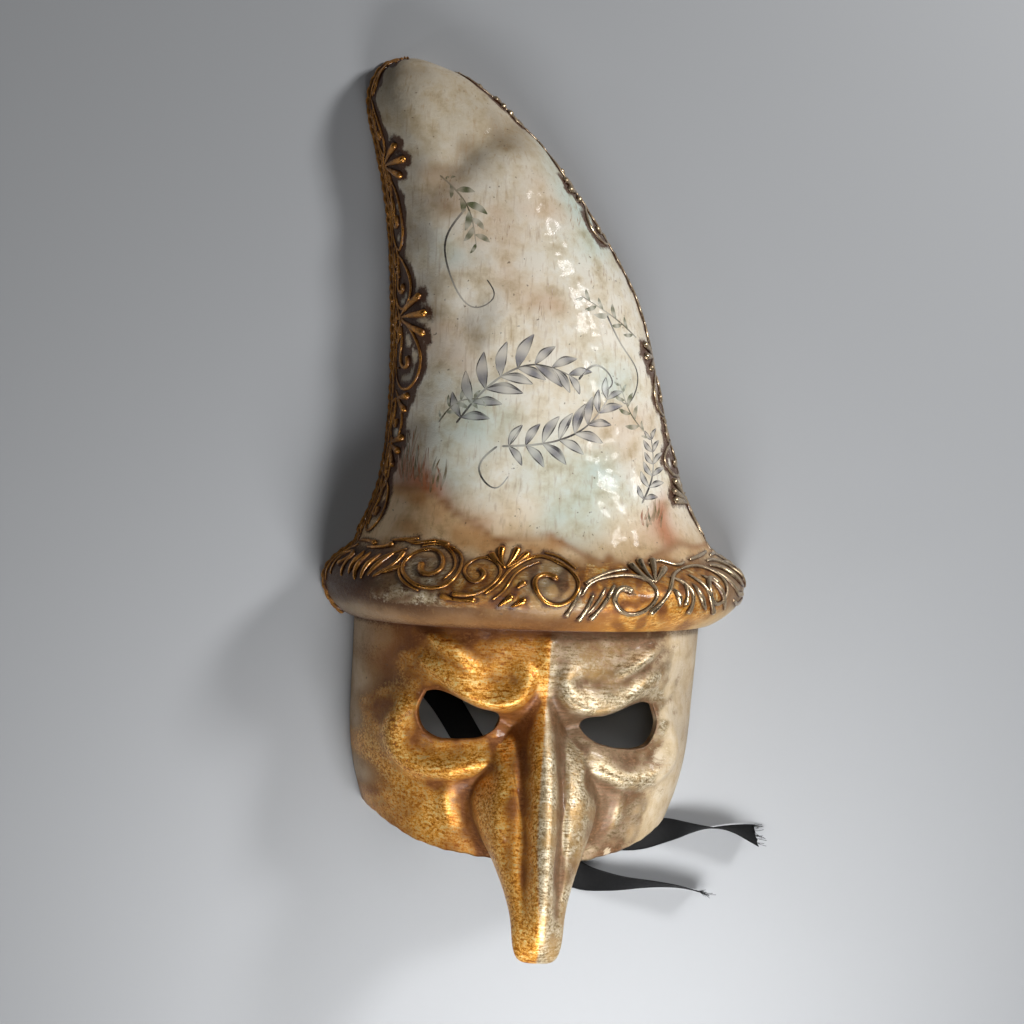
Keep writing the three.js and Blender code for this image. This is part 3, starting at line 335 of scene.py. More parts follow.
def plain(u, v):
    """The plain form: u runs from rim to rim, -1 to 1, and v up: 0 to 1 face, 1 to 2 brim, 2 to 3 hat.

    Across, a point goes round a superellipse of the half width and depth that the row's place gives.
    """
    side = np.clip(np.sin(u * np.pi / 2), -1, 1)
    arch = (1 - np.abs(side) ** RIM_POWER) ** (1 / RIM_POWER)
    low = low_edge(side) + EDGE_WAVER * np.sin(u * 61) * np.sin(u * 23 + 1)
    face_y = low + (SEAM - low) * np.clip(v, 0, 1)
    out, brim_y = np.moveaxis(brim_line(np.clip(v - 1, 0, 1)), -1, 0)
    up = np.clip(v - 2, 0, 1)
    left, right = hat_left(up), hat_right(up)
    hat = left + (right - left) * ((1 + side) / 2)[..., None]
    seam_half, seam_depth = half_width(SEAM), face_depth(SEAM)
    on_face, on_brim = v <= 1, v <= 2
    end = side ** 6 * np.sin(np.pi * np.clip(v - 1, 0, 1))
    brim_x = (seam_half + out) * side + (BRIM_END_RIGHT - BRIM_END_INWARD * side) * end
    x = np.where(on_face, half_width(face_y) * side, np.where(on_brim, brim_x, hat[..., 0]))
    y = np.where(on_face, face_y, np.where(on_brim, brim_y + BRIM_END_RISE * end, hat[..., 1]))
    brim_depth = seam_depth + out + (HAT_DEPTH[0][1] - seam_depth) * np.clip(v - 1, 0, 1)
    depth = np.where(on_face, face_depth(face_y), np.where(on_brim, brim_depth, hat_depth(up)))
    y = y + BRIM_TILT * x * ramp(-30, 0, y) * (1 - ramp(60, 140, y))
    return np.stack([x, y, depth * arch], -1)


def nose_ring(x, y):
    """Ring and angle of a face point about the nose's pear-shaped root."""
    t = (y - NOSE_ROOT_Y) / np.where(y > NOSE_ROOT_Y, NOSE_ROOT_UP, NOSE_ROOT_DOWN)
    s = x / NOSE_ROOT_HALF / (1 - NOSE_PEAR * ramp(-0.1, 0.9, t))
    power = np.where(t > 0, 2.0, 3.0)
    return (np.abs(s) ** power + np.abs(t) ** power) ** (1 / power), np.arctan2(t, s)


nose_profile = spline([-row[0] for row in NOSE_UNDER[::-1]] + [row[0] for row in NOSE_CREST[1:]],
                      [row[1:] for row in NOSE_UNDER[::-1]] + [row[1:] for row in NOSE_CREST[1:]])
nose_half_squared = graph([(ring, half * half) for ring, half in NOSE_HALF])


def with_nose(p):
    """Draws the face round the nose's root out into the nose.

    Each ring is an ellipse between the crest and the underside. Near the tip rings are evened out, so that
    the grid stays fine there. Grooves run on both sides of the crest, and wings swell near the root.
    """
    root, angle = nose_ring(p[..., 0], p[..., 1])
    t = np.clip(root / 0.5, 0, 1)
    ring = np.where(root < 0.5, 0.5 * (0.25 * t + 1.5 * t ** 2 - 0.75 * t ** 3), np.minimum(root, 1.1))
    crest, under = nose_profile(ring), nose_profile(-ring)
    middle, half = (crest + under) / 2, (crest - under) / 2
    rise = np.sin(angle)
    pear = 1 - NOSE_PEAR * ramp(-0.1, 0.9, rise)
    x = np.sqrt(np.clip(nose_half_squared(ring), 0, None)) * np.cos(angle) * pear
    off, spread, deep = GROOVE
    groove = deep * bell(np.abs(x) - (off + 1.5 * ring), spread)
    groove = groove * ramp(0.16, 0.42, ring) * ramp(0.1, 0.6, rise)
    off, spread, high = WING
    wing = high * bell(np.abs(x) - off, spread) * bell(ring - 0.72, 0.16) * ramp(-0.3, 0.3, rise)
    size = np.linalg.norm(half, axis=-1) + 1e-6
    nose = np.stack([
        x + wing * 0.5 * np.sign(x),
        middle[..., 0] + half[..., 0] * rise + (wing - groove) * half[..., 0] / size * 0.35,
        middle[..., 1] + half[..., 1] * rise + (wing - groove) * 0.94], -1)
    keep = ramp(0.78, 1.06, root)[..., None]
    return np.where(root[..., None] < 1.06, nose * (1 - keep) + p * keep, p)


def beside(x, y, points):
    """Distance to a line, the share of its length at the nearest place, and which side, 1 left to -1 right.

    Past the line's ends the side changes smoothly from 1 to -1.
    """
    samples = line(points)(np.linspace(0, 1, 64))
    ahead = np.gradient(samples, axis=0)
    ahead /= np.linalg.norm(ahead, axis=1)[:, None]
    away = np.stack([x.ravel()[:, None] - samples[:, 0], y.ravel()[:, None] - samples[:, 1]], -1)
    distance = np.hypot(away[..., 0], away[..., 1])
    best = distance.argmin(1)
    rows = np.arange(len(best))
    near = away[rows, best]
    distance = distance[rows, best]
    side = (ahead[best, 0] * near[:, 1] - ahead[best, 1] * near[:, 0]) / np.maximum(distance, 1e-6)
    return distance.reshape(x.shape), (best / 63).reshape(x.shape), side.reshape(x.shape)


def ridge(x, y, shape):
    """A bell-shaped ridge along a line: its height by the share of length, its spread by the side."""
    points, heights, left, right = shape
    distance, share, side = beside(x, y, points)
    height = spline(np.linspace(0, 1, len(heights)), heights)(share)
    return height * bell(distance, right + (left - right) * (1 + side) / 2)


def face_relief(x, y):
    """Height of the face's carving over the plain form, the same on both sides."""
    side = np.abs(x)
    height = sum(ridge(side, y, shape) for shape in RIDGES)
    out, up, spread, deep = TEMPLE
    height = height - deep * bell(np.hypot(side - out, y - up), spread)
    spread, high = FOREHEAD
    height = height + high * bell(x, spread) * ramp(-60, -42, y) * (1 - ramp(-12, -4, y))
    return height * (1 - ramp(-13, -5, y)) * (1 - ramp(78, 87, side))


def hat_relief(x, y):
    """Unevenness of the hat: broad bells, one crease under the tip's lobe, and a slight waviness."""
    height = sum(h * bell(np.hypot(x - a, y - b), spread) for a, b, spread, h in LUMPS)
    height = height + ridge(x, y, CREASE)
    wave = WAVINESS * np.sin(x * 0.21 + 0.9 * np.sin(y * 0.13)) * np.sin(y * 0.17 + 0.7 * np.sin(x * 0.11))
    return (height + wave) * ramp(40, 62, y)


def unit(a):
    """Vectors divided by their lengths."""
    return a / np.maximum(np.linalg.norm(a, axis=-1, keepdims=True), 1e-9)


def plain_normal(u, v, e=0.004):
    """Outward direction of the plain form, by differences along u and v."""
    a, b = np.clip(u, -1 + e, 1 - e), np.clip(v, e, 3 - 4 * e)
    return unit(np.cross(plain(a + e, b) - plain(a - e, b), plain(a, b + e) - plain(a, b - e)))


def surface(u, v):
    """The outer surface with its carving, nose and lumps."""
    p = plain(u, v)
    x, y = p[..., 0], p[..., 1]
    root, _ = nose_ring(x, y)
    carved = face_relief(x, y) * ramp(0.72, 1, root)
    lumpy = hat_relief(x, y) * (1 - np.abs(u) ** 6)
    height = np.where(v <= 1, carved, lumpy)[..., None]
    return np.where(v[..., None] <= 1, with_nose(p), p) + plain_normal(u, v) * height


def surface_normal(u, v, e=0.003):
    """Outward direction of the finished surface, by differences along u and v."""
    a, b = np.clip(u, -1 + e, 1 - e), np.clip(v, e, 3 - 4 * e)
    return unit(np.cross(surface(a + e, b) - surface(a - e, b), surface(a, b + e) - surface(a, b - e)))


# Meshes

def in_frame(points):
    """Millimetres from the seam to the frame's metres."""
    return (np.asarray(points, float) - MIDDLE) * MM


def make_piece(name, points, quads, triangles=(), values=(), uv=None, second=0, smooth=True):
    """A mesh object at the origin from points in mm and faces as index rows.

    values are named numbers or colours for each point, uv a place in mm for each point, and the last
    `second` faces take the second material.
    """
    quads = np.asarray(quads, np.int64).reshape(-1, 4)
    triangles = np.asarray(triangles, np.int64).reshape(-1, 3)
    mesh = bpy.data.meshes.new(name)
    mesh.vertices.add(len(points))
    mesh.vertices.foreach_set("co", in_frame(points).astype(np.float32).ravel())
    corners = np.concatenate([quads.ravel(), triangles.ravel()])
    mesh.loops.add(len(corners))
    mesh.loops.foreach_set("vertex_index", corners.astype(np.int32))
    starts = np.concatenate([np.arange(len(quads)) * 4, quads.size + np.arange(len(triangles)) * 3])
    mesh.polygons.add(len(starts))
    mesh.polygons.foreach_set("loop_start", starts.astype(np.int32))
    mesh.update(calc_edges=True)
    mesh.polygons.foreach_set("use_smooth", np.full(len(starts), smooth))
    if second:
        slots = np.zeros(len(starts), np.int32)
        slots[len(quads) - second:len(quads)] = 1
        mesh.polygons.foreach_set("material_index", slots)
    for key, value in dict(values).items():
        if value.ndim == 1:
            mesh.attributes.new(key, "FLOAT", "POINT").data.foreach_set("value", value.astype(np.float32))
        else:
            rgba = np.concatenate([value, np.ones((len(value), 1))], 1)
            layer = mesh.color_attributes.new(key, "FLOAT_COLOR", "POINT")
            layer.data.foreach_set("color", rgba.astype(np.float32).ravel())
    if uv is not None:
        layer = mesh.uv_layers.new(name="millimetres")
        layer.data.foreach_set("uv", uv[corners].astype(np.float32).ravel())
    mesh.validate()
    piece = bpy.data.objects.new(name, mesh)
    bpy.context.scene.collection.objects.link(piece)
    return piece


def grid_faces(index):
    """Quads of a grid of point numbers, rows up and columns across, facing out."""
    return np.stack([index[:-1, :-1], index[:-1, 1:], index[1:, 1:], index[1:, :-1]], -1).reshape(-1, 4)


# The shell

def eye_blocks(columns, rows):
    """For each eye: the block of cells left out, and its outline's reach from the middle by direction."""
    blocks = []
    for sign in (-1, 1):
        x, y = sign * np.array([p[0] for p in EYE]), np.array([p[1] for p in EYE], float)
        flat = y - BRIM_TILT * x * ramp(-30, 0, y)
        side = np.clip(x / half_width(flat), -1, 1)
        low = low_edge(side)
        places = np.stack([np.arcsin(side) * 2 / np.pi, (flat - low) / (SEAM - low)], -1)
        places = line(np.vstack([places, places[:1]]))(np.arange(180) / 180)
        i0, i1 = (int(np.abs(columns - f(places[:, 0])).argmin()) for f in (np.min, np.max))
        j0, j1 = (int(np.abs(rows - f(places[:, 1])).argmin()) for f in (np.min, np.max))
        i0, i1, j0, j1 = i0 + i0 % 2, i1 + i1 % 2, j0 + j0 % 2, j1 + j1 % 2
        centre = np.array([(columns[i0] + columns[i1]) / 2, (rows[j0] + rows[j1]) / 2])
        size = np.array([(columns[i1] - columns[i0]) / 2, (rows[j1] - rows[j0]) / 2])
        q = (places - centre) / size
        angle, reach = np.arctan2(q[:, 1], q[:, 0]), np.hypot(q[:, 0], q[:, 1])
        order = angle.argsort()
        blocks.append((i0, i1, j0, j1, centre, size, angle[order], reach[order]))
    return blocks


def drawn(u, v, blocks, far=2.1):
    """Draws the grid round each eye onto the eye's outline, fading out at `far` half sizes."""
    for i0, i1, j0, j1, centre, size, angle, reach in blocks:
        a, b = (u - centre[0]) / size[0], (v - centre[1]) / size[1]
        square = np.maximum(np.abs(a), np.abs(b))
        radius = np.interp(np.arctan2(b, a), angle, reach, period=2 * np.pi)
        scale = radius * square / np.maximum(np.hypot(a, b), 1e-9)
        pull = np.where((square < far) & (square > 0), scale + (1 - scale) * ramp(1, far, square), 1)
        u, v = centre[0] + a * pull * size[0], centre[1] + b * pull * size[1]
    return u, v


def open_grid(index, blocks, step):
    """Quads of the grid of point numbers without the eyes' blocks."""
    keep = np.ones((index.shape[0] - 1, index.shape[1] - 1), bool)
    for i0, i1, j0, j1, *_ in blocks:
        keep[j0 // step:j1 // step, i0 // step:i1 // step] = False
    return grid_faces(index)[keep.ravel()]


def grid_normals(points):
    """Outward directions of the shell's grid by central differences. Those of the rims lie flat."""
    n = np.cross(np.gradient(points, axis=1), np.gradient(points, axis=0))
    n[:, 0, 2] = n[:, -1, 2] = 0
    n[-1] = n[-2]
    return unit(n)


def blur(field, passes):
    """Evens out a grid by averaging each point with its four neighbours."""
    for _ in range(passes):
        padded = np.pad(field, [(1, 1), (1, 1)] + [(0, 0)] * (field.ndim - 2), mode="edge")
        field = (padded[:-2, 1:-1] + padded[2:, 1:-1] + padded[1:-1, :-2] + padded[1:-1, 2:] + 2 * field) / 6
    return field


def shell_layout():
    """Columns across and rows up, crowded on the nose and towards the hat's tip."""
    w = np.linspace(-1, 1, COLUMNS + 1)
    columns = w * (1 - CROWDING) + CROWDING * w ** 3
    rows = np.concatenate([np.arange(FACE_ROWS) / FACE_ROWS, 1 + np.arange(BRIM_ROWS) / BRIM_ROWS,
                           3 - (1 - np.arange(HAT_ROWS + 1) / HAT_ROWS) ** 1.5])
    return columns, rows


def inner_wall(outer, normal, blocks, wall):
    """The inner wall, laid out half as finely: the outer one moved in, and evened out without thinning."""
    normal = normal[::2, ::2]
    inner = outer[::2, ::2] - normal * wall
    for _ in range(8):
        step = (blur(inner, 1) - inner) * 0.7
        inward = np.maximum((step * normal).sum(-1, keepdims=True), 0)
        step = step - inward * normal
        step[:, 0] = step[:, -1] = step[0] = step[-1] = 0
        for i0, i1, j0, j1, *_ in blocks:
            step[j0 // 2:j1 // 2 + 1, i0 // 2:i1 // 2 + 1] = 0
        inner = inner + step
    inner[:, 0, 2] = inner[:, -1, 2] = 0
    inner[-1] = outer[-1, 0] - [0, wall, 0]
    return inner


def round_block(grid, i0, i1, j0, j1):
    """Numbers of the grid's points round a block of its cells, back to the first."""
    ring = np.concatenate([grid[j1, i0:i1], grid[j1:j0:-1, i1], grid[j0, i1:i0:-1], grid[j0:j1, i0]])
    return np.r_[ring, ring[:1]]


def wall_edges(index, lining, blocks):
    """Where the walls meet: the outer one's points, the inner one's points, and how far the edge bulges."""
    edges = [(index[0], lining[0], LOW_BULGE), (index[:, -1], lining[:, -1], 0),
             (index[::-1, 0], lining[::-1, 0], 0)]
    for block in blocks:
        corners = np.array(block[:4])
        edges.append((round_block(index, *corners), round_block(lining, *corners // 2), EYE_BULGE))
    return edges


def close_edges(points, edges):
    """Joins the walls: a rounded band where an edge bulges, then fans from the fine to the coarse wall."""
    bands, fans = [], []
    for outline, lined, bulge in edges:
        if bulge:
            closed = outline[0] == outline[-1]
            a = points[outline]
            b = np.empty_like(a)
            b[::2] = points[lined]
            b[1::2] = (points[lined[:-1]] + points[lined[1:]]) / 2
            ahead = np.gradient(a, axis=0)
            if closed:
                ahead[0] = ahead[-1] = a[1] - a[-2]
            out = unit(np.cross(ahead, b - a)) * bulge
            first = len(points) + np.arange(len(a))
            second = first + len(a)
            points = np.concatenate([points, a * 0.8 + b * 0.2 + out, a * 0.2 + b * 0.8 + out])
            if closed:
                first[-1], second[-1] = first[0], second[0]
            bands.append(grid_faces(np.stack([second, first, outline])))
            if not closed:
                bands.append(np.array([[lined[0], second[0], first[0], outline[0]],
                                       [outline[-1], first[-1], second[-1], lined[-1]]]))
            outline = second
        a, b, c, p, q = outline[:-1:2], outline[1::2], outline[2::2], lined[:-1], lined[1:]
        fans += [np.stack([p, b, a], -1), np.stack([p, q, b], -1), np.stack([q, c, b], -1)]
    return points, bands, fans


def shell_values(values, edges):
    """Carries the outer wall's values over to the inner wall and the rounded edges."""
    full = {}
    for key, value in values.items():
        flat, half = (part.reshape((-1,) + value.shape[2:]) for part in (value, value[::2, ::2]))
        bands = [flat[np.tile(outline, 2)] for outline, _, bulge in edges if bulge]
        full[key] = np.concatenate([flat, half] + bands)
    return full


def make_shell(paint, wall):
    """The papier-mache shell: a fine outer wall, an inner wall, and rounded edges that join them."""
    columns, rows = shell_layout()
    blocks = eye_blocks(columns, rows)
    u, v = drawn(*np.meshgrid(columns, rows), blocks)
    outer = surface(u, v)
    outer[:, 0, 2] = outer[:, -1, 2] = 0
    outer[-1] = np.append(HAT_LEFT[-1], 0)
    normal = grid_normals(outer)
    cavity = ((blur(outer, CAVITY_PASSES) - outer) * normal).sum(-1)
    inner = inner_wall(outer, normal, blocks, wall)
    index = np.arange(u.size).reshape(u.shape)
    lining = u.size + np.arange(inner[..., 0].size).reshape(inner.shape[:2])
    index[-1], lining[-1] = index[-1, 0], lining[-1, 0]
    edges = wall_edges(index, lining, blocks)
    points, bands, fans = close_edges(np.concatenate([outer.reshape(-1, 3), inner.reshape(-1, 3)]), edges)
    front, front_poles = split_poles(open_grid(index, blocks, 1))
    back, back_poles = split_poles(open_grid(lining, blocks, 2)[:, ::-1])
    quads = np.concatenate([front] + bands + [back])
    triangles = np.concatenate(fans + [front_poles, back_poles])
    triangles = triangles[(triangles != np.roll(triangles, 1, 1)).all(1)]
    values = shell_values(paint(u, v, outer, cavity), edges)
    points, quads, triangles, values = used_only(points, quads, triangles, values)
    return make_piece("papier_mache_shell", points, quads, triangles, values, second=len(back))


def split_poles(quads):
    """Quads with two equal corners become triangles."""
    top, turned = quads[:, 2] == quads[:, 3], quads[:, 0] == quads[:, 1]
    return quads[~(top | turned)], np.concatenate([quads[top][:, :3], quads[turned][:, 1:]])


def used_only(points, quads, triangles, values):
    """Leaves out the points that no face uses."""
    used = np.unique(np.concatenate([quads.ravel(), triangles.ravel()]))
    order = np.full(len(points), -1)
    order[used] = np.arange(len(used))
    return points[used], order[quads], order[triangles], {k: a[used] for k, a in values.items()}


# The piped scrollwork and the rope

def on_brim(points):
    """Brim places in mm, along from the middle and up the profile from the seam, as u and v."""
    return np.clip(points[:, 0] / BRIM_RUN, -0.985, 0.985), 1 + points[:, 1] / BRIM_GIRTH


def on_hat(sign):
    """Makes a function from places in mm, up one rim from the brim and in from the rim, to u and v."""
    def place(points):
        v = np.clip(2 + points[:, 0] / HAT_LENGTH[sign], 1.02, 2.99)
        pace = np.linalg.norm(plain(sign * 0.78 + 0 * v, v) - plain(sign * 0.7 + 0 * v, v), axis=-1) / 0.08
        return sign * (1 - points[:, 1] / pace), v
    return place


def tube(centre, normal, half, lift=0.25, squash=0.95, sides=10, ripple=None):
    """A closed tube along points: its points, quads, triangles, and each point's height, 0 foot to 1 top.

    ripple gives the radius of each point of the section, by the section's angles, as a share of half.
    """
    along = unit(np.gradient(centre, axis=0))
    side = unit(np.cross(normal, along))
    angle = np.arange(sides) / sides * 2 * np.pi
    reach = half[:, None] * (1 if ripple is None else ripple(angle))
    reach = np.broadcast_to(reach, (len(centre), sides))
    middle = (centre + normal * (lift * half)[:, None])[:, None]
    points = middle + side[:, None] * (reach * np.cos(angle))[..., None]
    points = points + normal[:, None] * (reach * np.sin(angle) * squash)[..., None]
    points[..., 2] = np.maximum(points[..., 2], 0.03)
    index = np.arange(points.shape[0] * sides).reshape(-1, sides)
    ring = np.c_[index, index[:, :1]]
    quads = grid_faces(ring)[:, ::-1]
    ends = [points[0].mean(0), points[-1].mean(0)]
    last = index.size
    start_fan = np.stack([np.full(sides, last), ring[0, :-1], ring[0, 1:]], -1)
    end_fan = np.stack([np.full(sides, last + 1), ring[-1, 1:], ring[-1, :-1]], -1)
    height = np.broadcast_to((np.sin(angle) + 1) / 2, (len(centre), sides)).ravel()
    return (np.vstack([points.reshape(-1, 3), ends]), quads, np.vstack([start_fan, end_fan]),
            {"height": np.r_[height, 0.5, 0.5]})


def rounded(run, length, half):
    """Half widths that close in quarter circles at both ends of a line."""
    near = np.clip(np.minimum(run, length - run) / np.maximum(half, 0.01), 0, 1)
    return half * np.sqrt(np.clip(1 - (1 - near) ** 2, 0.0025, 1))


def piped(stroke, place, step=0.7):
    """One piped line of the relief, from its points and its half widths along the way."""
    points, halves = stroke
    run = line(points)
    share = np.linspace(0, 1, max(8, int(run.total / step)) + 1)
    u, v = place(run(share))
    centre, normal = surface(u, v), surface_normal(u, v)
    half = np.interp(share, np.linspace(0, 1, len(halves)), halves)
    travelled = np.r_[0, np.cumsum(np.linalg.norm(np.diff(centre, axis=0), axis=1))]
    return tube(centre, normal, rounded(travelled, travelled[-1], half))


def rope(sign, step=0.45):
    """The twisted edge, from the seam round the brim's end to the hat's tip, as two strands' lobes."""
    sizes = bpy.context.scene.mask_sizes
    v = np.linspace(1.1, ROPE_ENDS[sign], 1600)
    rim, inner = plain(sign + 0 * v, v), plain(sign * 0.99 + 0 * v, v)
    u = sign * (1 - ROPE_LEVEL / (np.linalg.norm(rim - inner, axis=-1) / 0.01))
    path = surface(u, v)
    run = np.r_[0, np.cumsum(np.linalg.norm(np.diff(path, axis=0), axis=1))]
    even = np.linspace(0, run[-1], int(run[-1] / step))
    v = np.interp(even, run, v)
    u = np.interp(even, run, u)
    centre, normal = surface(u, v), surface_normal(u, v)
    swell = 1 + 0.06 * np.sin(even * 0.37) + 0.05 * np.sin(even * 1.13 + 2)
    half = rounded(even, even[-1], sizes.rope_radius / MM * swell)
    twist = sign * np.pi * (even + 0.5 * np.sin(even * 0.21)) / (sizes.rope_bead / MM)

    def lobes(angle):
        return 0.72 + 0.36 * np.abs(np.cos(angle[None] - twist[:, None])) ** 0.8
    return tube(centre, normal, half, lift=0.2, squash=1, sides=20, ripple=lobes)


def joined(parts):
    """Puts tubes together as one mesh."""
    points, quads, triangles, values = zip(*parts)
    starts = np.cumsum([0] + [len(part) for part in points[:-1]])
    quads, triangles = (np.concatenate([faces + start for faces, start in zip(kind, starts)])
                        for kind in (quads, triangles))
    return (np.concatenate(points), quads, triangles,
            {key: np.concatenate([value[key] for value in values]) for key in values[0]})


# The ribbons

def ribbon_frame(rows, inward, step=2.0):
    """Points along a ribbon's middle line with the directions across it and out of its face.

    It starts with its face turned inwards, as glued to the wall, and comes to lie face up.
    """
    run = line(rows)
    share = np.linspace(0, 1, int(run.total / step) + 1)
    stations = run(share)
    points = stations[:, :3]
    along = unit(np.gradient(points, axis=0))
    lying = ramp(0, RIBBON_SETTLED, share)[:, None]
    face = (1 - lying) * [inward, 0, 0] + lying * [0, 0, 1]
    face = unit(face - along * (face * along).sum(-1, keepdims=True))
    roll = np.radians(stations[:, 3:])
    face = face * np.cos(roll) + np.cross(along, face) * np.sin(roll)
    return points, np.cross(along, face), face


def make_ribbon(name, rows, inward, seed, wide):
    """A satin ribbon as a thin closed strip, slightly cupped, with loose threads at its cut end.

    The strip's middle surface is the middle line carried across, raised by a cup and a slight wave. It is
    thickened to both sides, and each thread is a thin tube that bows away from the end.
    """
    points, side, face = ribbon_frame(rows, inward)
    across = np.linspace(-1, 1, 13)
    count = len(points)
    rng = np.random.default_rng(seed)
    ragged = np.interp(np.linspace(0, 1, 13), np.linspace(0, 1, 7), rng.uniform(-1.6, 0.2, 7))
    along = unit(np.gradient(points, axis=0))
    middle = points[:, None] + side[:, None] * (across * wide / 2)[None, :, None]
    middle[-1] += along[-1] * ragged[:, None]
    run = np.r_[0, np.cumsum(np.linalg.norm(np.diff(points, axis=0), axis=1))]
    wave = RIBBON_WAVE * np.sin(run[:, None] * 0.11 + 2 * across) * np.sin(run[:, None] * 0.043 + 1)
    cup = RIBBON_CUP * (1 - across[None] ** 2) - RIBBON_CUP / 2 + wave
    middle = middle + face[:, None] * cup[..., None]
    edge = np.where(np.abs(across) > 0.97, RIBBON_EDGE_THICK, RIBBON_HALF_THICK)[None, :, None]
    top, under = middle + face[:, None] * edge, middle - face[:, None] * edge
    section = np.concatenate([top, under[:, ::-1]], 1)
    section[..., 2] = np.maximum(section[..., 2], 0.03)
    around = section.shape[1]
    index = np.arange(count * around).reshape(count, around)
    ring = np.c_[index, index[:, :1]]
    quads = grid_faces(ring)
    cap = np.stack([index[:, :12], index[:, 1:13], index[:, 24:12:-1], index[:, 25:13:-1]], -1)
    quads = np.concatenate([quads, cap[0][:, ::-1], cap[-1]])
    width = across * wide / 2
    place = np.stack(np.broadcast_arrays(run[:, None], np.r_[width, width[::-1]][None]), -1).reshape(-1, 2)
    values = {"thread": np.zeros(count * around)}
    parts = [(section.reshape(-1, 3), quads, np.zeros((0, 3), int), values)]
    for w in rng.uniform(-0.98, 0.98, RIBBON_THREADS):
        start = points[-1] + side[-1] * w * wide / 2 - along[-1] * 2
        reach = rng.uniform(*THREAD_REACH)
        bow = np.clip(rng.normal(0, 1, 3), -1.5, 1.5) * [0.9, 0.9, 0.4]
        share = np.linspace(0, 1, 7)[:, None]
        path = start + along[-1] * reach * share + (bow + side[-1] * w) * share ** 2
        path[:, 2] = np.maximum(path[:, 2], 0.15)
        parts.append(tube(path, np.tile(face[-1], (7, 1)), np.full(7, THREAD_HALF), 0, 1, 5)[:3]
                     + ({"thread": np.ones(37)},))
    mesh = joined(parts)
    flat = np.zeros((len(mesh[0]), 2))
    flat[:len(place)] = place
    return make_piece(name, *mesh, uv=flat), points


def edge_strokes(sign):
    """The piped lines, loops, blossoms and drops of one of the hat's edges.

    A loop's outline and hook are two fixed curves stretched over its length and its reach inside the rope.
    """
    strokes = []
    for start, length, reach in LOOPS[sign]:
        for shape, halves in ((LOOP, (0.6, 0.9, 0.9, 0.7, 0.5)), (HOOK, BLOB_END)):
            strokes.append(([(start + a * length, 5.5 + b * (reach - 5.5)) for a, b in shape], halves))
    for root, tips in BLOSSOMS[sign]:
        strokes += [([root, ((root[0] + a) / 2, (root[1] + b) / 2), (a, b)], PETAL) for a, b in tips]
        strokes.append(([(root[0] - 2, 5), root], PLAIN))
    for low, high, inward, wave in EDGE_LINES[sign]:
        places = np.arange(low, high, 5.0)
        strokes.append(([(s, inward + wave * math.sin(s * 0.45)) for s in places], PLAIN))
    strokes += [([(s - 0.6, t), (s + 0.6, t)], (1.5, 1.5)) for s, t in DROPS[sign]]
    return strokes


def brim_scrollwork(name, strokes):
    """All strokes on one half of the brim, as one piece."""
    return make_piece(name, *joined([piped(stroke, on_brim) for stroke in strokes]))


def edge_scrollwork(name, sign):
    """The rope and all strokes on one edge of the hat, as one piece."""
    place = on_hat(sign)
    return make_piece(name, *joined([rope(sign)] + [piped(stroke, place) for stroke in edge_strokes(sign)]))


def piping_middles():
    """Points along every piped line, on the shell's surface."""
    middles = []
    for strokes, place in ((BRIM_LEFT + BRIM_RIGHT, on_brim), (edge_strokes(-1), on_hat(-1)),
                           (edge_strokes(1), on_hat(1))):
        for points, _ in strokes:
            run = line(points)
            middles.append(surface(*place(run(np.linspace(0, 1, int(run.total / 1.2) + 2)))))
    return np.concatenate(middles)


# Paint

def linear(code):
    """An sRGB hex colour as linear red, green and blue."""
    parts = np.array([int(code[k:k + 2], 16) for k in (0, 2, 4)]) / 255
    return np.where(parts <= 0.04045, parts / 12.92, ((parts + 0.055) / 1.055) ** 2.4)


def shade(name):
    """One of the colours that the panel offers."""
    return np.array(getattr(bpy.context.scene.mask_colours, name))


def laid(under, over, amount):
    """One colour laid over another by an amount from 0 to 1."""
    return under + (over - under) * np.clip(amount, 0, 1)[..., None]


def colours_at(table, place):
    """Colours of a table of places and hex codes, blended in between."""
    colours = np.array([linear(code) for _, code in table])
    return np.stack([np.interp(place, [row[0] for row in table], channel) for channel in colours.T], -1)


def cloud(x, y, size, seed):
    """A smooth random field of about -1 to 1: two dozen plane waves of lengths about `size` mm, added up."""
    rng = np.random.default_rng(seed)
    total = 0
    for turn, stretch, phase in rng.uniform((0, 0.7, 0), (2 * np.pi, 1.8, 2 * np.pi), (24, 3)):
        total = total + np.sin((x * np.cos(turn) + y * np.sin(turn)) * 2 * np.pi / (size * stretch) + phase)
    return total * 0.17


ground_line = graph(GROUND)


def hat_tint(x, y):
    """Ground colours of the hat: watercolour patches with outlines pushed about by clouds, over the ivory.
    Some brownish grey patches are painted shade along the crease and down the left side.
    """
    a, b = x + 5 * cloud(x, y, 26, 11), y + 5 * cloud(x, y, 26, 12)
    tint = colours_at(HAT_UP, y) * (shade("ivory") / linear(IVORY))
    for name, patches in WASHES.items():
        for across, up, reach, strength in patches:
            tint = laid(tint, shade(name), strength * bell(np.hypot(a - across, b - up), reach))
    depth = ground_line(np.clip(x, -80, 74)) - y + 1.2 * cloud(x, y, 14, 13)
    earth = laid(linear(EARTH_PALE) + 0 * tint, linear(EARTH_WARM), 0.4 + 0.8 * cloud(x, y, 18, 14))
    tint = laid(tint, earth, 0.9 * ramp(-0.6, 1.2, depth))
    return laid(tint, linear(EARTH_LINE), 0.6 * bell(depth - 1.2, 2.0))


def away_from(points, others, block=2000):
    """Distance from each point to the nearest of the others."""
    nearest = [np.sqrt(((part[:, None] - others[None]) ** 2).sum(-1).min(1))
               for part in np.array_split(points, len(points) // block + 1)]
    return np.concatenate(nearest)


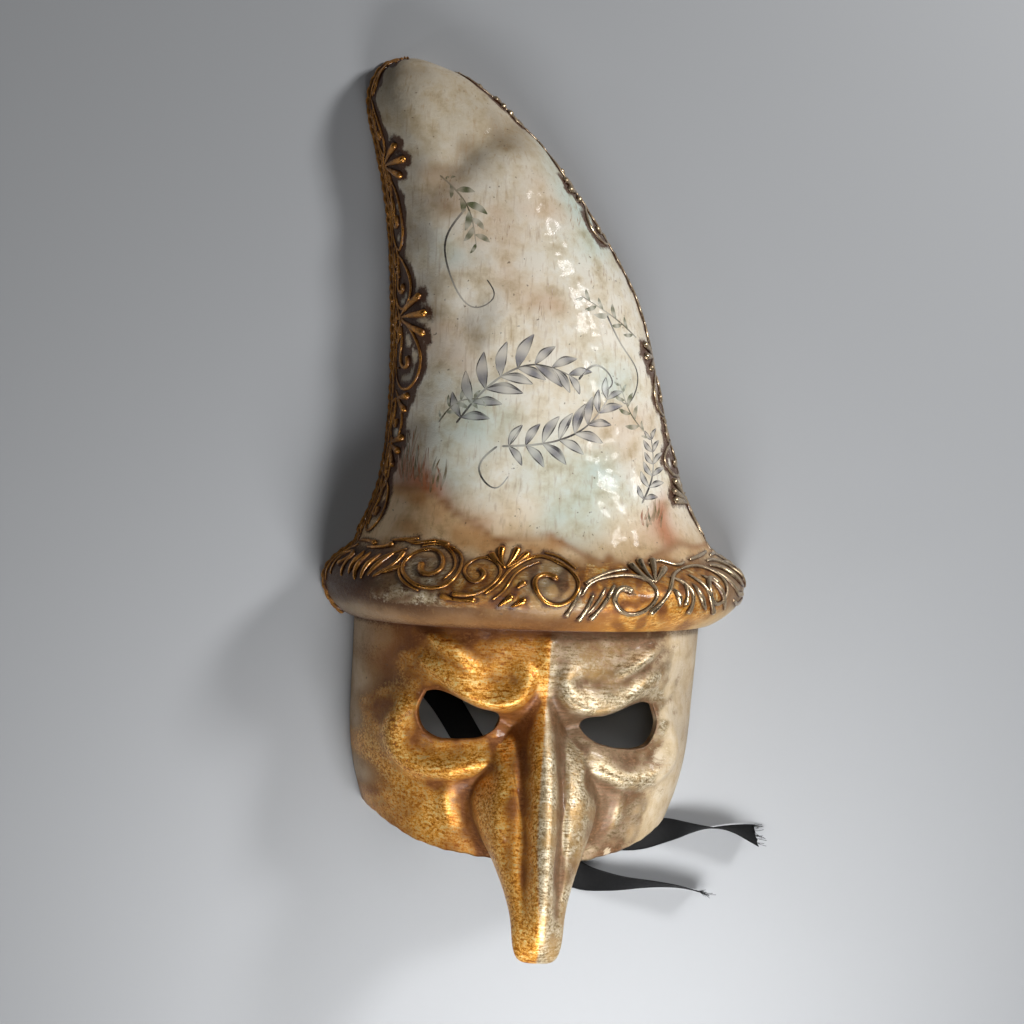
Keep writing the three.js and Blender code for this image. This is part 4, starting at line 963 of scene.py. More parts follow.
def paint(u, v, outer, cavity):
    """What the painter laid on the shell, for every point of its grid.

    tint is the paint's colour, leafed the share of metal leaf, silver the way in mm from gold's limit into
    silver, patina the wear and dirt on the leaf with painted shade on the forehead under the brim, and soot
    the dark glaze wiped into corners and round piping, and painted shade in the brim's seam and under its
    lip.
    """
    x, y = outer[..., 0], outer[..., 1]
    sway, grain = cloud(x, y, 24, 21), cloud(x, y, 8, 22)
    s, t = u * BRIM_RUN + 6 * sway, (v - 1) * BRIM_GIRTH
    face = v <= 1
    near = np.full(x.shape, 99.0)
    trimmed = (v > 1) & ((v < 2.05) | (np.abs(u) > 0.45))
    near[trimmed] = away_from(outer[trimmed], piping_middles())

    # Paint on the brim's panel and lip, on the hat and on the face
    tint = laid(colours_at(PANEL, s), colours_at(LIP, s), 1 - ramp(14, 24, t + 3 * sway))
    tint = laid(tint, hat_tint(x, y), ramp(47, 58, t + 2 * grain))
    tint = np.where(face[..., None], colours_at(FACE_PAINT, x + 4 * sway), tint)

    # Leaf on the face, on the brim's panel and on its lip, and the line where gold meets silver
    ys, lefts, rights = (np.array(column, float) for column in zip(*LEAF_LIMITS))
    leafed = (ramp(-14, 12, x - np.interp(y, ys, lefts) + 9 * sway)
              * ramp(-14, 12, np.interp(y, ys, rights) - x + 6 * grain))
    panel = ramp(-130, -70, s) * (1 - ramp(88, 108, s)) * ramp(20, 26, t) * (1 - ramp(46, 53, t + 2 * grain))
    lip = 0.62 * ramp(14, 32, s) * (1 - ramp(82, 100, s)) * (1 - ramp(22, 26, t))
    leafed = np.where(face, leafed, panel * (0.75 + 0.3 * grain) + lip)
    gold_end, silver_line = (np.array(column, float) for column in zip(*SPLIT))
    silver = np.where(face, x - np.interp(y, gold_end, silver_line), np.interp(s, *zip(*SILVERED)))

    # Wear and dirt: in hollows, along the edges, round the eyes, in the wiped marks and beside the crest;
    # painted shade on the forehead under the brim
    patina = (0.3 + 0.85 * ramp(0.05, 1.2, cavity) - 0.6 * ramp(0.1, 0.9, -cavity) + 0.15 * sway
              + 0.14 * ramp(0, 8, silver))
    # The term near the brim's seam is painted shade on the forehead under the brim's lip; the other is wear
    # along the lower edge
    patina = patina + 0.25 * (1 - ramp(0.0, 0.07, v)) + 0.45 * ramp(0.9, 1, v) * face
    eye = line(EYE + EYE[:1])(np.linspace(0, 1, 80))
    eyes = np.concatenate([eye, eye * (-1, 1)])
    round_eye = away_from(outer[..., :2].reshape(-1, 2), eyes).reshape(x.shape)
    patina = patina + 0.55 * bell(round_eye, 2.2)
    for across, up, reach, strength in MARKS:
        patina = patina + strength * bell(np.hypot(x - across + 3 * sway, y - up + 3 * grain), reach) * face
    patina = np.where(face, patina, 0.45 + 0.5 * ramp(0.2, 1.4, cavity) + 0.6 * grain + 0.3 * sway)
    beside_crest = bell(np.abs(x - np.interp(y, gold_end, silver_line)) - 10.5, 4) * ramp(-42, -60, y)
    patina = patina + 0.5 * face * beside_crest * (1 - ramp(-105, -150, y))

    # The glaze stays round the piping and in the face's deepest hollows. In the brim's seam, under its lip
    # and on the forehead below it, the dark is glaze deepened by painted shade, deepest on the left.
    soot = 0.95 * bell(near, 1.9) * (1 - 0.2 * ramp(0, 40, s))
    on_edge = ramp(2.0, 2.06, v) * ramp(5.0, 3.2, near + 1.2 * grain)
    soot = np.maximum(soot, on_edge * np.where(u < 0, 0.95, 0.85))
    # Painted shade in the brim's seam and under its lip, strongest on the left
    soot = np.maximum(soot, np.where(face, 0, 0.75 * bell(t, 3) + 0.7 * ramp(30, -40, s) * ramp(15, 4, t)
                                     + 0.45 * ramp(-50, -100, s) * ramp(20, 28, t) * (1 - ramp(54, 62, t))))
    # On the face: painted shade in the seam under the brim and on the forehead's upper left, glaze in the
    # deepest hollows
    soot = np.maximum(soot, face * (0.6 * bell(1 - v, 0.025) + 0.3 * bell(np.hypot(x + 83, y + 26), 6)
                                    + 0.1 * ramp(1.2, 3.2, cavity)
                                    + 0.2 * beside_crest * (1 - ramp(-95, -140, y))
                                    + 0.12 * ramp(-40, -62, x) * ramp(-34, -8, y)))
    chipped = bell(np.hypot(x - CHIP[0], y - CHIP[1]), CHIP[2]) > 0.4
    tint[chipped], leafed[chipped], soot[chipped] = linear(BARE_GESSO), 0, 0
    return {"tint": np.clip(tint, 0, 1), "leafed": leafed, "silver": silver, "patina": np.clip(patina, 0, 1),
            "soot": np.clip(soot, 0, 1)}


# The design on the hat, in brush strokes

def at_hat(points):
    """u and v of the hat's places given by x and y, found by halving steps up the hat."""
    x, y = np.asarray(points, float).T
    low, high = np.zeros(len(x)), np.ones(len(x))
    for _ in range(24):
        up = (low + high) / 2
        left, across = hat_left(up), hat_right(up) - hat_left(up)
        above = across[:, 0] * (y - left[:, 1]) > across[:, 1] * (x - left[:, 0])
        low, high = np.where(above, up, low), np.where(above, high, up)
    share = ((x - left[:, 0]) * across[:, 0] + (y - left[:, 1]) * across[:, 1]) / (across ** 2).sum(-1)
    return np.arcsin(np.clip(2 * share - 1, -0.999, 0.999)) * 2 / np.pi, 2 + up


def brushed(points, halves, code, strength, step=0.8, film=0.045):
    """One brush stroke as a thin closed film of paint. Its colour covers the ground by the strength."""
    run = line(points)
    share = np.linspace(0, 1, max(6, int(run.total / step)) + 1)
    flat = run(share)
    u, v = at_hat(flat)
    centre, normal = surface(u, v), surface_normal(u, v)
    half = rounded(share * run.total, run.total, np.interp(share, np.linspace(0, 1, len(halves)), halves))
    points, quads, triangles, _ = tube(centre, normal, half, lift=0, squash=film / half[:, None], sides=8)
    wet = strength * (0.8 + 0.3 * np.sin(share * 9 + run.total))
    tint = laid(hat_tint(flat[:, 0], flat[:, 1]), linear(code), wet)
    tint = np.concatenate([np.repeat(tint, 8, 0), tint[[0, -1]]])
    return points, quads, triangles, {"tint": tint}


def leaflet(root, turn, length, width):
    """Root, bowed middle and tip of a leaf, and its outline's two middles."""
    ahead = np.array([math.cos(turn), math.sin(turn)])
    aside = np.array([-ahead[1], ahead[0]])
    middle = root + ahead * length * 0.5 + aside * length * 0.08
    return [root, middle, root + ahead * length], [middle + aside * width, middle - aside * width]


def sprig(stem, count, size, rng):
    """A stem with olive leaves set left and right in turn."""
    run = line(stem)
    strokes = [(stem, (0.45, 0.4, 0.25), STEM, 0.9)]
    for k in range(count):
        share = (k + 0.7) / count
        root, ahead = run(share), run(min(share + 0.02, 1)) - run(share - 0.02)
        turn = math.atan2(ahead[1], ahead[0]) + (-1) ** k * rng.uniform(0.55, 1.0)
        length = size * (0.65 + 0.5 * math.sin(math.pi * share)) * rng.uniform(0.8, 1.15)
        leaf, _ = leaflet(root, turn, length, 0)
        strokes.append((leaf, (0.25, length * 0.17, length * 0.15, 0.2), OLIVE, rng.uniform(0.6, 1.0)))
    return strokes


def plume(spine, pairs, size, rng):
    """A plume of grey wash: leaflets in pairs along a spine, each with an ink line round it."""
    run = line(spine)
    strokes = []
    for k in range(pairs):
        share = (k + 0.4) / pairs
        root, ahead = run(share), run(share + 0.02) - run(share - 0.02)
        for side in (-1, 1):
            turn = math.atan2(ahead[1], ahead[0]) + side * (1.0 - 0.45 * share)
            length = size * (0.45 + 0.6 * math.sin(math.pi * (0.2 + 0.7 * share))) * rng.uniform(0.85, 1.1)
            width = length * 0.14
            leaf, middles = leaflet(root, turn, length, width)
            shadow = [leaf[0], (leaf[1] + middles[side > 0]) / 2, leaf[2]]
            wash = (0.3, width * 0.9, width * 1.1, width * 0.7, 0.2)
            strokes += [(leaf, wash, GREY_WASH, rng.uniform(0.5, 0.95)),
                        (shadow, (0.2, width * 0.5, width * 0.5, 0.2), GREY_SHADOW, rng.uniform(0.5, 0.95))]
            strokes += [([leaf[0], middle, leaf[2]], (0.26, 0.38, 0.24), INK, 0.95) for middle in middles]
    strokes.append((spine, (0.55, 0.5, 0.3), LINE_INK, 0.95))
    return strokes


def design():
    """All brush strokes of the design: points, half widths, colour, strength."""
    rng = np.random.default_rng(17)
    strokes = []
    for points, count, size in SPRIGS:
        strokes += sprig(points, count, size, rng)
    for points, pairs, size in PLUMES:
        strokes += plume(points, pairs, size, rng)
    strokes += [(points, (0.55, 0.48, 0.3), DARK_INK, 0.95) for points in TENDRILS]
    for x, y, count, height in TUFTS:
        for _ in range(count):
            foot = np.array([x + rng.uniform(-5, 5), y + rng.uniform(-2, 3)])
            tip = foot + [rng.uniform(-3, 3), height * rng.uniform(0.5, 1)]
            blade = [foot, (foot + tip) / 2 + [rng.uniform(-1, 1), 0], tip]
            strokes.append((blade, (0.5, 0.9, 0.6, 0.2), rng.choice(GRASSES), rng.uniform(0.6, 0.95)))
    for x, y, count in SCRATCHES:
        for _ in range(count):
            foot = np.array([x + rng.normal(0, 5), y + rng.normal(0, 5)])
            scratch = [foot, foot + [rng.uniform(-0.6, 0.6), rng.uniform(2, 6)]]
            strokes.append((scratch, (0.15, 0.3, 0.12), SIENNA, rng.uniform(0.35, 0.75)))
    return strokes


# Materials

COLOUR_A, COLOUR_B, COLOUR_OUT = 6, 7, 2  # the mix node's sockets for colours
# Glints of gold and silver leaf, warm clouds and dirt in the silver, streaks and specks on the ivory
GOLD_GLINT, SILVER_GLINT, WARM_CLOUD, UMBER, STREAK, SPECK = (
    "FFE79C", "F6EBD2", "B08A52", "573A22", "9A7548", "5E4A36")
MOTTLES = [(0.28, "D6C9B2"), (0.58, "FFFFFF"), (0.44, "F5EFE4")]  # shades of the ivory, by the blotch
# Patterns of the painted shell: stretch along x, y and z, size in mm, detail, roughness. The grains of leaf
# are drawn 1.1 mm wide, coarser than real ones, so that they show.
PATTERNS = {"grain": ((1, 1, 1), 1.1, 5, 0.75), "blotch": ((1, 1, 1), 11, 5, 0.6),
            "streak": ((1, 0.09, 1), 1.6, 3, 0.5), "rubbed": ((0.16, 1, 1), 1.4, 4, 0.7),
            "speck": ((1, 1, 1), 2.1, 1, 0.5), "swell": ((1, 1, 1), 13, 1, 0.5)}


def add(tree, kind, inputs=(), stops=(), **settings):
    """Adds a node. inputs give a socket its value or the socket that feeds it, stops are a ramp's colours."""
    node = tree.nodes.new(kind)
    for key, value in settings.items():
        setattr(node, key, value)
    for key, value in dict(inputs).items():
        if isinstance(value, bpy.types.NodeSocket):
            tree.links.new(value, node.inputs[key])
        else:
            node.inputs[key].default_value = value
    for k, (place, colour) in enumerate(stops):
        spots = node.color_ramp.elements
        spot = spots[k] if k < 2 else spots.new(place)
        spot.position, spot.color = place, (*colour, 1)
    return node


def material(name, **values):
    """A new material with the shader's plain values: its tree, its shader and the Object coordinates."""
    made = bpy.data.materials.new(name)
    made.use_nodes = True
    shader = made.node_tree.nodes["Principled BSDF"]
    for key, value in values.items():
        shader.inputs[key.replace("_", " ")].default_value = value
    return made, made.node_tree, shader, add(made.node_tree, "ShaderNodeTexCoord").outputs["Object"]


def gilded_papier_mache():
    """Metal leaf, watercolour and brown glaze on gessoed papier-mache, under one coat of gloss varnish.

    The leaf shows as a fine sparkle of bright grains and grains dulled by wear, the painted hat as mottled,
    streaked and finely speckled ivory, and everything has the varnish's sharp highlights over the uneven
    gesso.
    Under the brim the leaf also darkens to dirt and glaze as painted shade.
    """
    made, tree, shader, place = material("gilded_papier_mache", Coat_Weight=0.1, Coat_Roughness=0.1)
    tint = add(tree, "ShaderNodeAttribute", attribute_name="tint").outputs["Color"]
    leafed, silver, patina, soot = (add(tree, "ShaderNodeAttribute", attribute_name=name).outputs["Fac"]
                                    for name in ("leafed", "silver", "patina", "soot"))
    grain, blotch, streak, rubbed, speck, swell = (
        add(tree, "ShaderNodeTexNoise", {
            "Vector": add(tree, "ShaderNodeMapping", {"Vector": place, "Scale": stretch}).outputs["Vector"],
            "Scale": 1 / (size * MM), "Detail": detail, "Roughness": roughness}).outputs["Fac"]
        for stretch, size, detail, roughness in PATTERNS.values())

    # The painter's shares, broken up by the patterns: share, weights of the patterns, from, to, and the most
    shares = []
    for share, weights, low, high, most in (
            (patina, ((grain, 1.5), (rubbed, 1.3), (blotch, 1.2)), 2.2, 3.0, 0.92),
            (leafed, ((rubbed, 1.2), (grain, 0.9)), 1.35, 1.85, 1), (silver, ((grain, 3.0),), 0.9, 2.1, 1),
            (soot, ((grain, 1.3), (rubbed, 0.9)), 1.3, 1.9, 0.94)):
        for pattern, weight in weights:
            share = add(tree, "ShaderNodeMath", {0: pattern, 1: weight, 2: share},
                        operation="MULTIPLY_ADD").outputs[0]
        shares.append(add(tree, "ShaderNodeMapRange", {"Value": share, "From Min": low, "From Max": high,
                                                       "To Max": most}).outputs["Result"])
    # worn and glazed also carry the painted shade under the brim that the patina and soot attributes hold
    worn_and_shaded, cover, turned, glazed_and_shaded = shares

    # Steps of the plain patterns: the leaf's gleam and its dirt, warm clouds in silver, streaks and specks
    sparkle = add(tree, "ShaderNodeMath", {0: grain, 1: rubbed}, operation="ADD").outputs[0]
    gleam, depth, warm, streaked, specked = (
        add(tree, "ShaderNodeMapRange", {"Value": pattern, "From Min": low, "From Max": high,
                                         "To Max": most}).outputs["Result"]
        for pattern, low, high, most in (
            (sparkle, 0.8, 1.22, 1), (sparkle, 0.8, 1.2, 1), (blotch, 0.48, 0.62, 0.7),
            (streak, 0.56, 0.74, 0.4), (speck, 0.73, 0.79, 0.7)))
    gold, silvery = (
        add(tree, "ShaderNodeValToRGB", {"Fac": gleam}, stops=[
            (0.1, shade(metal) * dulled), (0.95, linear(glint)), (0.5, shade(metal))]).outputs["Color"]
        for metal, dulled, glint in (("gold", (0.42, 0.26, 0.12), GOLD_GLINT),
                                     ("silver", (0.36, 0.29, 0.2), SILVER_GLINT)))
    mottle = add(tree, "ShaderNodeValToRGB", {"Fac": blotch}, stops=[
        (amount, linear(code)) for amount, code in MOTTLES]).outputs["Color"]

    # The dirt on gold and on silver, warmer silver, both metals beside each other and under their dirt
    brown, umber, pale = (
        add(tree, "ShaderNodeMix", {"Factor": factor, COLOUR_A: under, COLOUR_B: over},
            data_type="RGBA").outputs[COLOUR_OUT]
        for factor, under, over in (
            (depth, (*shade("patina") * 0.45, 1), (*shade("patina") * 2.2, 1)),
            (depth, (*linear(UMBER) * 0.45, 1), (*linear(UMBER) * 2.2, 1)),
            (warm, silvery, (*linear(WARM_CLOUD), 1))))
    leaf, dirt = (add(tree, "ShaderNodeMix", {"Factor": turned, COLOUR_A: on_gold, COLOUR_B: on_silver},
                      data_type="RGBA").outputs[COLOUR_OUT]
                  for on_gold, on_silver in ((gold, pale), (brown, umber)))
    # The leaf turns to its dirt where worn is high, and under the brim this is painted shade
    leaf = add(tree, "ShaderNodeMix", {"Factor": worn_and_shaded, COLOUR_A: leaf, COLOUR_B: dirt},
               data_type="RGBA").outputs[COLOUR_OUT]
    base = tint
    for way, amount, colour in (("MULTIPLY", 1.0, mottle), ("MIX", streaked, (*linear(STREAK), 1)),
                                ("MIX", specked, (*linear(SPECK), 1)), ("MIX", cover, leaf),
                                ("MIX", glazed_and_shaded, (*shade("glaze"), 1))):
        base = add(tree, "ShaderNodeMix", {"Factor": amount, COLOUR_A: base, COLOUR_B: colour},
                   data_type="RGBA", blend_type=way).outputs[COLOUR_OUT]
    tree.links.new(base, shader.inputs["Base Color"])

    metal = cover
    for share, start, end in ((worn_and_shaded, 0.55, 0.3), (glazed_and_shaded, 1.0, 0.1)):
        kept = add(tree, "ShaderNodeMapRange", {"Value": share, "To Min": start,
                                                "To Max": end}).outputs["Result"]
        metal = add(tree, "ShaderNodeMath", {0: metal, 1: kept}, operation="MULTIPLY").outputs[0]
    tree.links.new(metal, shader.inputs["Metallic"])
    rough = add(tree, "ShaderNodeMapRange", {"Value": grain, "From Min": 0.3, "From Max": 0.7, "To Min": 0.46,
                                             "To Max": 0.7}).outputs["Result"]
    for share, weight in ((cover, -0.2), (worn_and_shaded, 0.2)):
        rough = add(tree, "ShaderNodeMath", {0: share, 1: weight, 2: rough},
                    operation="MULTIPLY_ADD").outputs[0]
    tree.links.new(rough, shader.inputs["Roughness"])
    height = blotch
    for pattern in (grain, rubbed):
        height = add(tree, "ShaderNodeMath", {0: pattern, 1: 0.35, 2: height},
                     operation="MULTIPLY_ADD").outputs[0]
    for field, strength, reach, socket in ((height, 0.5, 1.1, "Normal"), (swell, 0.6, 3.5, "Coat Normal")):
        bump = add(tree, "ShaderNodeBump", {"Height": field, "Strength": strength, "Distance": reach * MM})
        tree.links.new(bump.outputs["Normal"], shader.inputs[socket])
    return made


def bare_papier_mache():
    """Unpainted layers of torn paper and glue: dull, fibrous, buff with darker glue stains."""
    made, tree, shader, place = material("bare_papier_mache", Roughness=0.86)
    fibre = add(tree, "ShaderNodeTexNoise", {"Vector": place, "Scale": 1 / (1.5 * MM), "Detail": 6,
                                             "Roughness": 0.8, "Distortion": 1.5}).outputs["Fac"]
    sheet = add(tree, "ShaderNodeTexVoronoi", {"Vector": place, "Scale": 1 / (30 * MM), "Randomness": 1.0})
    tone = add(tree, "ShaderNodeMix", {"Factor": fibre, COLOUR_A: (*linear("A8957A"), 1),
                                       COLOUR_B: (*linear("CDBFA6"), 1)},
               data_type="RGBA").outputs[COLOUR_OUT]
    glue = add(tree, "ShaderNodeMapRange", {"Value": sheet.outputs["Distance"], "From Max": 0.9,
                                            "To Max": 0.35}).outputs["Result"]
    tone = add(tree, "ShaderNodeMix", {"Factor": glue, COLOUR_A: tone, COLOUR_B: (*linear("8C7452"), 1)},
               data_type="RGBA").outputs[COLOUR_OUT]
    tree.links.new(tone, shader.inputs["Base Color"])
    bump = add(tree, "ShaderNodeBump", {"Height": fibre, "Strength": 0.5, "Distance": 0.4 * MM})
    tree.links.new(bump.outputs["Normal"], shader.inputs["Normal"])
    return made


def wiped_metal_paint(name, foot, top):
    """Piped relief paste in metallic paint, with a dark glaze rubbed off its tops and a painted highlight on
    them.

    The glaze stays at the foot of each line, and the tops gleam in broken dashes where the cloth went over.
    There the colour is painted up to 1.45 times as bright as the paint, as a painted highlight.
    """
    made, tree, shader, place = material(name, Coat_Weight=0.4, Coat_Roughness=0.1)
    height = add(tree, "ShaderNodeAttribute", attribute_name="height").outputs["Fac"]
    grain = add(tree, "ShaderNodeTexNoise", {"Vector": place, "Scale": 1 / (1.6 * MM), "Detail": 4,
                                             "Roughness": 0.7}).outputs["Fac"]
    patch = add(tree, "ShaderNodeTexNoise", {"Vector": place, "Scale": 1 / (7 * MM),
                                             "Detail": 2}).outputs["Fac"]
    wiped_and_highlighted = height
    for pattern in (grain, patch):
        wiped_and_highlighted = add(tree, "ShaderNodeMath", {0: pattern, 1: 0.9, 2: wiped_and_highlighted},
                    operation="MULTIPLY_ADD").outputs[0]
    wiped_and_highlighted = add(tree, "ShaderNodeMapRange", {"Value": wiped_and_highlighted, "From Min": 1.4,
                                             "From Max": 1.95}).outputs["Result"]
    # The top stop is a painted highlight, brighter than the paint itself; the foot stop is the glaze
    tone = add(tree, "ShaderNodeValToRGB", {"Fac": wiped_and_highlighted}, stops=[
        (0, foot), (1, np.minimum(top * 1.45, 0.95)), (0.6, top * 0.8)]).outputs["Color"]
    tree.links.new(tone, shader.inputs["Base Color"])
    for socket, start, end in (("Metallic", 0.3, 1.0), ("Roughness", 0.5, 0.26)):
        level = add(tree, "ShaderNodeMapRange", {"Value": wiped_and_highlighted, "To Min": start,
                                                 "To Max": end}).outputs["Result"]
        tree.links.new(level, shader.inputs[socket])
    bump = add(tree, "ShaderNodeBump", {"Height": grain, "Strength": 0.3, "Distance": 0.4 * MM})
    tree.links.new(bump.outputs["Normal"], shader.inputs["Normal"])
    return made


def varnished_watercolour():
    """Thin watercolour strokes under the varnish: uneven where the brush ran dry, with a gloss coat."""
    made, tree, shader, place = material("varnished_watercolour", Roughness=0.6, Coat_Weight=0.1,
                                         Coat_Roughness=0.1)
    tint = add(tree, "ShaderNodeAttribute", attribute_name="tint").outputs["Color"]
    grain = add(tree, "ShaderNodeTexNoise", {"Vector": place, "Scale": 1 / (1.4 * MM),
                                             "Detail": 4}).outputs["Fac"]
    dry = add(tree, "ShaderNodeMapRange", {"Value": grain, "From Min": 0.4, "From Max": 0.75,
                                           "To Min": 0.0, "To Max": 0.15}).outputs["Result"]
    tone = add(tree, "ShaderNodeMix", {"Factor": dry, COLOUR_A: tint, COLOUR_B: (*shade("ivory"), 1)},
               data_type="RGBA").outputs[COLOUR_OUT]
    tree.links.new(tone, shader.inputs["Base Color"])
    return made


def black_satin_weave():
    """Polyester satin: near-black, with a soft painted sheen in light and dark bands across fine ribs.

    The ribs are drawn 0.5 mm apart, coarser than real ones, so that they show.
    """
    made, tree, shader, place = material("black_satin_weave", Specular_IOR_Level=0.25)
    flat = add(tree, "ShaderNodeUVMap", uv_map="millimetres").outputs["UV"]
    ribs = add(tree, "ShaderNodeTexWave", {"Vector": flat, "Scale": 0.64, "Distortion": 0.6, "Detail": 2},
               bands_direction="X").outputs["Fac"]
    # Painted sheen: the ribs' bands are lit and shaded copies of the satin's colour
    tone = add(tree, "ShaderNodeMix", {"Factor": ribs, COLOUR_A: (*shade("satin") * 0.6, 1),
                                       COLOUR_B: (*shade("satin") * 1.5, 1)},
               data_type="RGBA").outputs[COLOUR_OUT]
    tree.links.new(tone, shader.inputs["Base Color"])
    fuzz = add(tree, "ShaderNodeTexNoise", {"Vector": place, "Scale": 1 / (2 * MM),
                                            "Detail": 3}).outputs["Fac"]
    rough = add(tree, "ShaderNodeMapRange", {"Value": fuzz, "To Min": 0.6, "To Max": 0.8}).outputs["Result"]
    tree.links.new(rough, shader.inputs["Roughness"])
    bump = add(tree, "ShaderNodeBump", {"Height": ribs, "Strength": 0.3, "Distance": 0.08 * MM})
    tree.links.new(bump.outputs["Normal"], shader.inputs["Normal"])
    return made


def matt_card():
    """The studio's pale matt card, with a faint unevenness."""
    made, tree, shader, place = material("matt_card", Roughness=0.62)
    cloudy = add(tree, "ShaderNodeTexNoise", {"Vector": place, "Scale": 1.5, "Detail": 1}).outputs["Fac"]
    tone = add(tree, "ShaderNodeMix", {"Factor": cloudy, COLOUR_A: (*linear("A3A5A8"), 1),
                                       COLOUR_B: (*linear("ACAEB1"), 1)},
               data_type="RGBA").outputs[COLOUR_OUT]
    tree.links.new(tone, shader.inputs["Base Color"])
    return made


# Camera, lights and floor

VIEW = {"yaw": 8.7, "pitch": 1.5, "roll": 4.0, "distance": 1300.0, "target": (-15.7, 48.6, 30.0)}
PIXELS, FOCAL_PIXELS, SENSOR = 1024, 2600, 36.0
# Lamps: name, place in metres, place on the floor that it faces, width, height, power in watts
LAMPS = [("right_softbox", (0.8, 0.6, 0.8), (0, 0), 0.22, 0.22, 11.0),
         ("front_softbox", (0.06, -0.36, 0.36), (0, -0.24), 0.28, 0.16, 2.2),
         ("left_strip", (-0.5, -0.2, 0.4), (0, -0.15), 0.05, 0.1, 0.25),
         ("overhead_softbox", (-0.14, 0.12, 1.6), (0, 0), 0.25, 0.25, 1.1)]
WORLD_GREY, WORLD_STRENGTH = "B4B4B2", 0.04
FLOOR_HALF = 3.0  # metres


def place_camera():
    """The camera looks at the target from a direction given by yaw and pitch, turned by the roll."""
    yaw, pitch, roll = (math.radians(VIEW[key]) for key in ("yaw", "pitch", "roll"))
    back = np.array([-math.sin(yaw) * math.cos(pitch), math.sin(pitch), math.cos(yaw) * math.cos(pitch)])
    right = np.array([math.cos(roll), math.sin(roll), 0.0])
    right = unit(right - back * (right @ back))
    matrix = np.eye(4)
    matrix[:3] = np.stack([right, np.cross(back, right), back,
                           in_frame(VIEW["target"] + VIEW["distance"] * back)], -1)
    data = bpy.data.cameras.new("camera")
    data.sensor_width = SENSOR
    data.lens = FOCAL_PIXELS / PIXELS * SENSOR
    camera = bpy.data.objects.new("camera", data)
    camera.matrix_world = Matrix(matrix.tolist())
    bpy.context.scene.collection.objects.link(camera)
    bpy.context.scene.camera = camera


def light_stage():
    """Flat lamps that face their places on the floor, a dim grey world, and the floor's card."""
    for name, place, aim, width, height, power in LAMPS:
        data = bpy.data.lights.new(name, "AREA")
        data.shape, data.size, data.size_y, data.energy = "RECTANGLE", width, height, power
        lamp = bpy.data.objects.new(name, data)
        turn = (Vector(place) - Vector((*aim, 0))).to_track_quat("Z", "Y").to_matrix().to_4x4()
        lamp.matrix_world = Matrix.Translation(place) @ turn
        bpy.context.scene.collection.objects.link(lamp)
    world = bpy.data.worlds.new("studio")
    world.use_nodes = True
    background = world.node_tree.nodes["Background"]
    background.inputs["Color"].default_value = (*linear(WORLD_GREY), 1)
    background.inputs["Strength"].default_value = WORLD_STRENGTH
    bpy.context.scene.world = world
    bpy.context.scene.view_settings.view_transform = "Standard"  # the plain contrast of a studio photograph
    corners = [(x * FLOOR_HALF, y * FLOOR_HALF, 0) for x, y in ((-1, -1), (1, -1), (1, 1), (-1, 1))]
    mesh = bpy.data.meshes.new("floor")
    mesh.from_pydata(corners, [], [(0, 1, 2, 3)])
    floor = bpy.data.objects.new("floor", mesh)
    floor.data.materials.append(matt_card())
    bpy.context.scene.collection.objects.link(floor)


# The panel's values

IVORY = "DDD2C0"


def colour_property(name, description, code):
    return bpy.props.FloatVectorProperty(name=name, description=description, subtype="COLOR", size=3, min=0,
                                         max=1, default=linear(code).tolist())


def length_property(name, description, size):
    return bpy.props.FloatProperty(name=name, description=description, unit="LENGTH", default=size * MM)


class MaskSizes(bpy.types.PropertyGroup):
    """Sizes that a maker would change."""
    wall: length_property("Wall", "Thickness of the papier-mache", WALL)
    rope_radius: length_property("Rope radius", "Half width of the twisted edge", ROPE_HALF)
    rope_bead: length_property("Rope bead", "Length of one lobe of the twisted edge", ROPE_BEAD)
    ribbon_width: length_property("Ribbon width", "Width of the satin tie ribbons", RIBBON_WIDTH)


class MaskColours(bpy.types.PropertyGroup):
    """Colours that a maker would change."""
    gold: colour_property("Gold leaf", "Leaf on the left half of the face", "ECA238")
    silver: colour_property("Silver leaf", "Leaf on the right half of the face", "C4B08C")
    # Also colours the painted shade on the forehead under the brim, on the gold side
    patina: colour_property("Patina", "Wear and dirt on the gold leaf", "5C2E0C")
    # Also the colour of the painted shade in the brim's seam and under its lip
    glaze: colour_property("Glaze", "Dark glaze in corners and round the piping", "4C260A")
    ivory: colour_property("Ivory", "Ground of the hat", IVORY)
    blue_green: colour_property("Blue-green", "Pale washes on the hat", "C4D2C8")
    ochre: colour_property("Ochre", "Warm patches on the hat", "BE8A50")
    # Also the colour of the painted shade along the hat's crease and down its left side
    stain_and_shade: colour_property("Stain_and_painted_shade", "Brownish grey patches on the hat", "7E6748")
    rust: colour_property("Rust", "Rust red patches on the hat", "B5622A")
    bronze: colour_property("Bronze", "Metallic paint on the left piping", "C0843C")
    pewter: colour_property("Pewter", "Metallic paint on the right piping", "B8A283")
    satin: colour_property("Satin", "Tie ribbons", "0B0B0C")


# Operators, one for each piece or group of like pieces

def dressed(piece, slot, *materials, replaced=()):
    """Gives a piece its materials and body and hides the nodes that it stands for; slot is not used."""
    for one in materials:
        piece.data.materials.append(one)
    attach(piece, "root")
    if replaced:
        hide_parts(*replaced)


class MASK_OT_camera(bpy.types.Operator):
    """Place the camera above the lying mask"""
    bl_idname = "mask.camera"
    bl_label = "Camera"

    def execute(self, context):
        place_camera()
        return {"FINISHED"}


